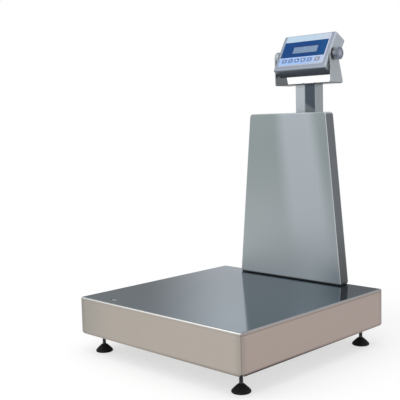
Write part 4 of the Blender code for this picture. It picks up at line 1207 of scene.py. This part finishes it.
class SCALE_OT_knobs(bpy.types.Operator):
    """Dress the clamp knobs, their caps and the spacer discs"""
    bl_idname = "platform_scale.knobs"
    bl_label = "Clamp Knobs"

    def execute(self, context):
        knob = knob_finish()
        cap = plastic("knob_cap_plastic", tone(146, 154, 166), 0.40, 2600.0, 0.2, 1.15)
        # The spacer discs are alike: the left one is coloured pale as painted light, the right one
        # black as painted shadow.
        discs = {"left": plastic("disc_plastic_grey", tone(186, 192, 196), 0.50),
                 "right": plastic("disc_plastic_black", tone(30, 31, 34), 0.50)}
        bulge = np.array(dome(0.46, 0.0004, 0.0009, 0.5, 7)) * [0.0068, 1.0]
        profile = np.array([(0.0067, -0.0002), (0.0069, 0.0), *bulge])
        for name, sign in (("left", -1), ("right", 1)):
            smooth_copy("knob_" + name, knob, 32.0)
            smooth_copy("spacer_disc_" + name, discs[name], 32.0)
            low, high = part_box("knob_" + name)
            size = (high.y - low.y) / 0.040
            end = (high.x if sign > 0 else low.x) - sign * 0.00142 * size
            form = stand(skin(turned(profile * size, 48)), (end, *PIVOT[1:]), ACROSS * sign)
            make("knob_cap_" + name, form, cap, "knob_" + name)
        return {"FINISHED"}


class SCALE_OT_feet(bpy.types.Operator):
    """Dress the levelling feet with threads and rubber"""
    bl_idname = "platform_scale.feet"
    bl_label = "Levelling Feet"

    def execute(self, context):
        sizes = context.scene.platform_scale.fasteners
        rubber = rubber_finish()
        thread = steel("thread_zinc", tone(92, 94, 98), LINES_X, 0.30, contrast=0.06)
        nut = steel("nut_zinc", tone(82, 84, 88), LINES_X, 0.34, contrast=0.08)
        for corner in CORNERS:
            stem = "foot_stem_" + corner
            smooth_copy("foot_pad_" + corner, rubber, 40.0)
            low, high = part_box(stem)
            form = threaded((high.x - low.x) / 2, sizes.thread_depth, sizes.thread_pitch,
                            low.z, high.z)
            make("foot_thread_" + corner, moved(form, (*middle_of(stem)[:2], 0.0)), thread,
                 "foot_" + corner, 60.0, (stem,))
            coat(nut, "lock_nut_" + corner)
            smooth_copy("pan_pad_" + corner, rubber, 40.0)
        return {"FINISHED"}


class SCALE_OT_chassis(bpy.types.Operator):
    """Dress the base frame, the live top frame, the load cell and the stops"""
    bl_idname = "platform_scale.chassis"
    bl_label = "Frames and Load Cell"

    def execute(self, context):
        settings = context.scene.platform_scale
        tube = settings.steel.tube
        coat(steel("rail_steel", tube, LINES_Y, 0.36), "base_rail_left", "base_rail_right",
             "base_beam_centre", "post_arm")
        coat(steel("cross_steel", tube, LINES_X, 0.36), "base_cross_front", "base_cross_rear")
        coat(spangle_finish(), "top_beam_centre", "top_arm_front", "top_arm_rear")
        smooth_copy("load_cell", steel("cell_aluminium", tone(205, 207, 210), LINES_Y, 0.30,
                                       contrast=0.08))
        zinc = steel("plate_zinc", tone(176, 178, 176), LINES_X, 0.34)
        coat(zinc, "load_cell_spacer_lower", "load_cell_spacer_upper")
        for corner in CORNERS:
            smooth_copy("overload_stop_" + corner, zinc, 30.0)
        self.cell_bolts(settings.fasteners)
        self.welds(settings.fasteners)
        return {"FINISHED"}

    def cell_bolts(self, sizes):
        """Two socket bolts under the beam at the fixed end of the load cell."""
        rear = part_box("load_cell")[1].y
        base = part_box("base_beam_centre")[0].z
        fasten("load_cell_bolts", "cap", sizes.cell_bolt,
               [((0.0, rear - inset, base), -UP) for inset in (0.0125, 0.0375)])

    def welds(self, sizes):
        """Beads where the cross members meet the rails and the beam."""
        inset = 0.004
        paths = []
        for node in ("base_cross_front", "base_cross_rear"):
            low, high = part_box(node)
            paths += [[[x, low.y + inset, z], [x, high.y - inset, z]]
                      for z in (low.z, high.z) for x in (low.x, high.x)]
        low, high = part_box("base_beam_centre")
        paths += [[[low.x + inset, y, z], [high.x - inset, y, z]]
                  for z in (low.z, high.z) for y in (low.y, high.y)]
        forms = [weld_bead(np.array(path), sizes.weld * 0.8, False) for path in paths]
        make("frame_welds", gather(forms), bpy.data.materials["weld_metal"], "base",
             80.0)


class SCALE_OT_studio(bpy.types.Operator):
    """Build the floor, the lamps, the sky and the camera"""
    bl_idname = "platform_scale.studio"
    bl_label = "Studio and Camera"

    def execute(self, context):
        studio = context.scene.platform_scale.studio
        self.floor()
        self.sky(studio)
        self.lamp("key_lamp", (-1.6, -2.4, 2.6), 2.2, studio.key_lamp)
        self.lamp("top_lamp", (0.4, -0.4, 3.0), 2.4, studio.top_lamp)
        self.camera(studio)
        return {"FINISHED"}

    def seen(self, board):
        """1 for rays that show the background: camera, glossy and transmission rays."""
        camera, glossy, through = board.lay("LightPath", out=(
            "Is Camera Ray", "Is Glossy Ray", "Is Transmission Ray"))
        return camera.math("MAXIMUM", glossy).math("MAXIMUM", through)

    def floor(self):
        """Round floor on a grid of radius and angle. Away from the scale it turns plain white."""
        radius = np.concatenate([[0.02], np.geomspace(0.4, 30.0, 14)])[:, None]
        angle = circle(72)
        grid = np.stack([radius * np.cos(angle), radius * np.sin(angle),
                         np.full((len(radius), len(angle)), -0.0001)], -1)
        index = np.arange(grid.size // 3).reshape(grid.shape[:2])
        quads = np.stack([index[:-1], index[1:], np.roll(index[1:], -1, 1),
                          np.roll(index[:-1], -1, 1)], -1).reshape(-1, 4)
        mesh = bpy.data.meshes.new("studio_floor")
        mesh.from_pydata(grid.reshape(-1, 3).tolist(), [], quads.tolist() + [index[0].tolist()])
        finish = Finish("studio_floor", rough=0.9)
        x, y = finish.apart(finish.place)[:2]
        mottle = finish.noise(finish.place, 3.0)
        finish.put(finish.shader.inputs["Base Color"],
                   finish.mix(mottle, tone(250, 250, 250), tone(253, 253, 253)))
        white = finish.lay("Emission", {"Color": (1.0, 1.0, 1.0), "Strength": 1.0})
        share = x.reach(y).step(0.40, 1.05).between(0.60, 1.0) * self.seen(finish)
        surface = finish.lay("MixShader", {0: share, 1: Value(finish, finish.shader.outputs[0]),
                                           2: white})
        finish.put(finish.tree.nodes["Material Output"].inputs["Surface"], surface)
        mesh.materials.append(finish.material)
        floor = bpy.data.objects.new("studio_floor", mesh)
        bpy.context.scene.collection.objects.link(floor)

    def sky(self, studio):
        """Even pale light. The camera sees it as white, and gloss sees a room."""
        world = bpy.data.worlds.new("studio_sky")
        world.use_nodes = True
        board = Board(world.node_tree)
        sky = world.node_tree.nodes["Background"].inputs
        board.put(sky["Color"], (1.0, 1.0, 1.0))
        plain = self.seen(board).between(studio.sky, 1.0)
        glossy = board.lay("LightPath", out="Is Glossy Ray")
        board.put(sky["Strength"], plain * glossy.between(1.0, self.room(board)))
        bpy.context.scene.world = world
        bpy.context.scene.view_settings.view_transform = "Standard"

    def room(self, board):
        """Level of the room that gloss shows: a lit wall behind the scale between dim corners.

        The wall spans some ten degrees of heading to the left of straight behind, and the dim
        corners fade out above a low height, so that only flat tops show them.
        """
        x, y, z = board.apart(board.lay("TexCoord", out="Generated"))
        heading = (x * -1.0).math("ARCTAN2", y)
        left = heading.step(*np.radians((49.5, 42.5))).between(0.55, 1.2)
        right = heading.step(*np.radians((34.0, 40.0))).between(0.32, 1.0)
        around = heading.step(*np.radians((62.0, 75.0))).math(
            "MAXIMUM", heading.step(*np.radians((-5.0, -25.0))))
        wall = left * right * z.step(0.20, 0.255).between(0.80, 1.0)
        return wall.math("MAXIMUM", around.math("MAXIMUM", z.step(0.36, 0.52)))

    def lamp(self, name, place, size, watts):
        """Square soft lamp that points at the middle of the scale."""
        light = bpy.data.lights.new(name, "AREA")
        light.size = size
        light.energy = watts
        lamp = bpy.data.objects.new(name, light)
        lamp.location = place
        aim = Vector((0.0, 0.0, 0.35)) - Vector(place)
        lamp.rotation_euler = aim.to_track_quat("-Z", "Y").to_euler()
        bpy.context.scene.collection.objects.link(lamp)

    def camera(self, studio):
        """Camera at the photograph's angle."""
        view = bpy.data.cameras.new("photo_camera")
        view.sensor_width = 36.0
        view.lens = studio.lens
        camera = bpy.data.objects.new("photo_camera", view)
        camera.matrix_world = (Matrix.Translation(studio.eye)
                               @ Matrix.Rotation(studio.heading, 4, "Z")
                               @ Matrix.Rotation(math.pi / 2 - studio.dip, 4, "X")
                               @ Matrix.Rotation(studio.roll, 4, "Z"))
        bpy.context.scene.collection.objects.link(camera)
        bpy.context.scene.camera = camera


OPERATORS = (SCALE_OT_groups, SCALE_OT_pan, SCALE_OT_column, SCALE_OT_yoke, SCALE_OT_indicator,
             SCALE_OT_knobs, SCALE_OT_feet, SCALE_OT_chassis, SCALE_OT_studio)


class SCALE_PT_dressing(bpy.types.Panel):
    """Buttons for each part of the dressing"""
    bl_idname = "SCALE_PT_dressing"
    bl_label = "Platform Scale"
    bl_space_type = "VIEW_3D"
    bl_region_type = "UI"
    bl_category = "Scale"

    def draw(self, context):
        for operator in OPERATORS:
            self.layout.operator(operator.bl_idname)


CLASSES = (SteelLooks, PrintLooks, FastenerSizes, StudioSettings, ScaleSettings,
           *OPERATORS, SCALE_PT_dressing)


def register():
    for item in CLASSES:
        bpy.utils.register_class(item)
    bpy.types.Scene.platform_scale = bpy.props.PointerProperty(
        type=ScaleSettings, name="Platform scale", description="Settings of the platform scale")


def unregister():
    del bpy.types.Scene.platform_scale
    for item in reversed(CLASSES):
        bpy.utils.unregister_class(item)


def main():
    """Dress the whole scale."""
    register()
    for operator in OPERATORS:
        group, name = operator.bl_idname.split(".")
        getattr(getattr(bpy.ops, group), name)()


if __name__ == "__main__":
    main()
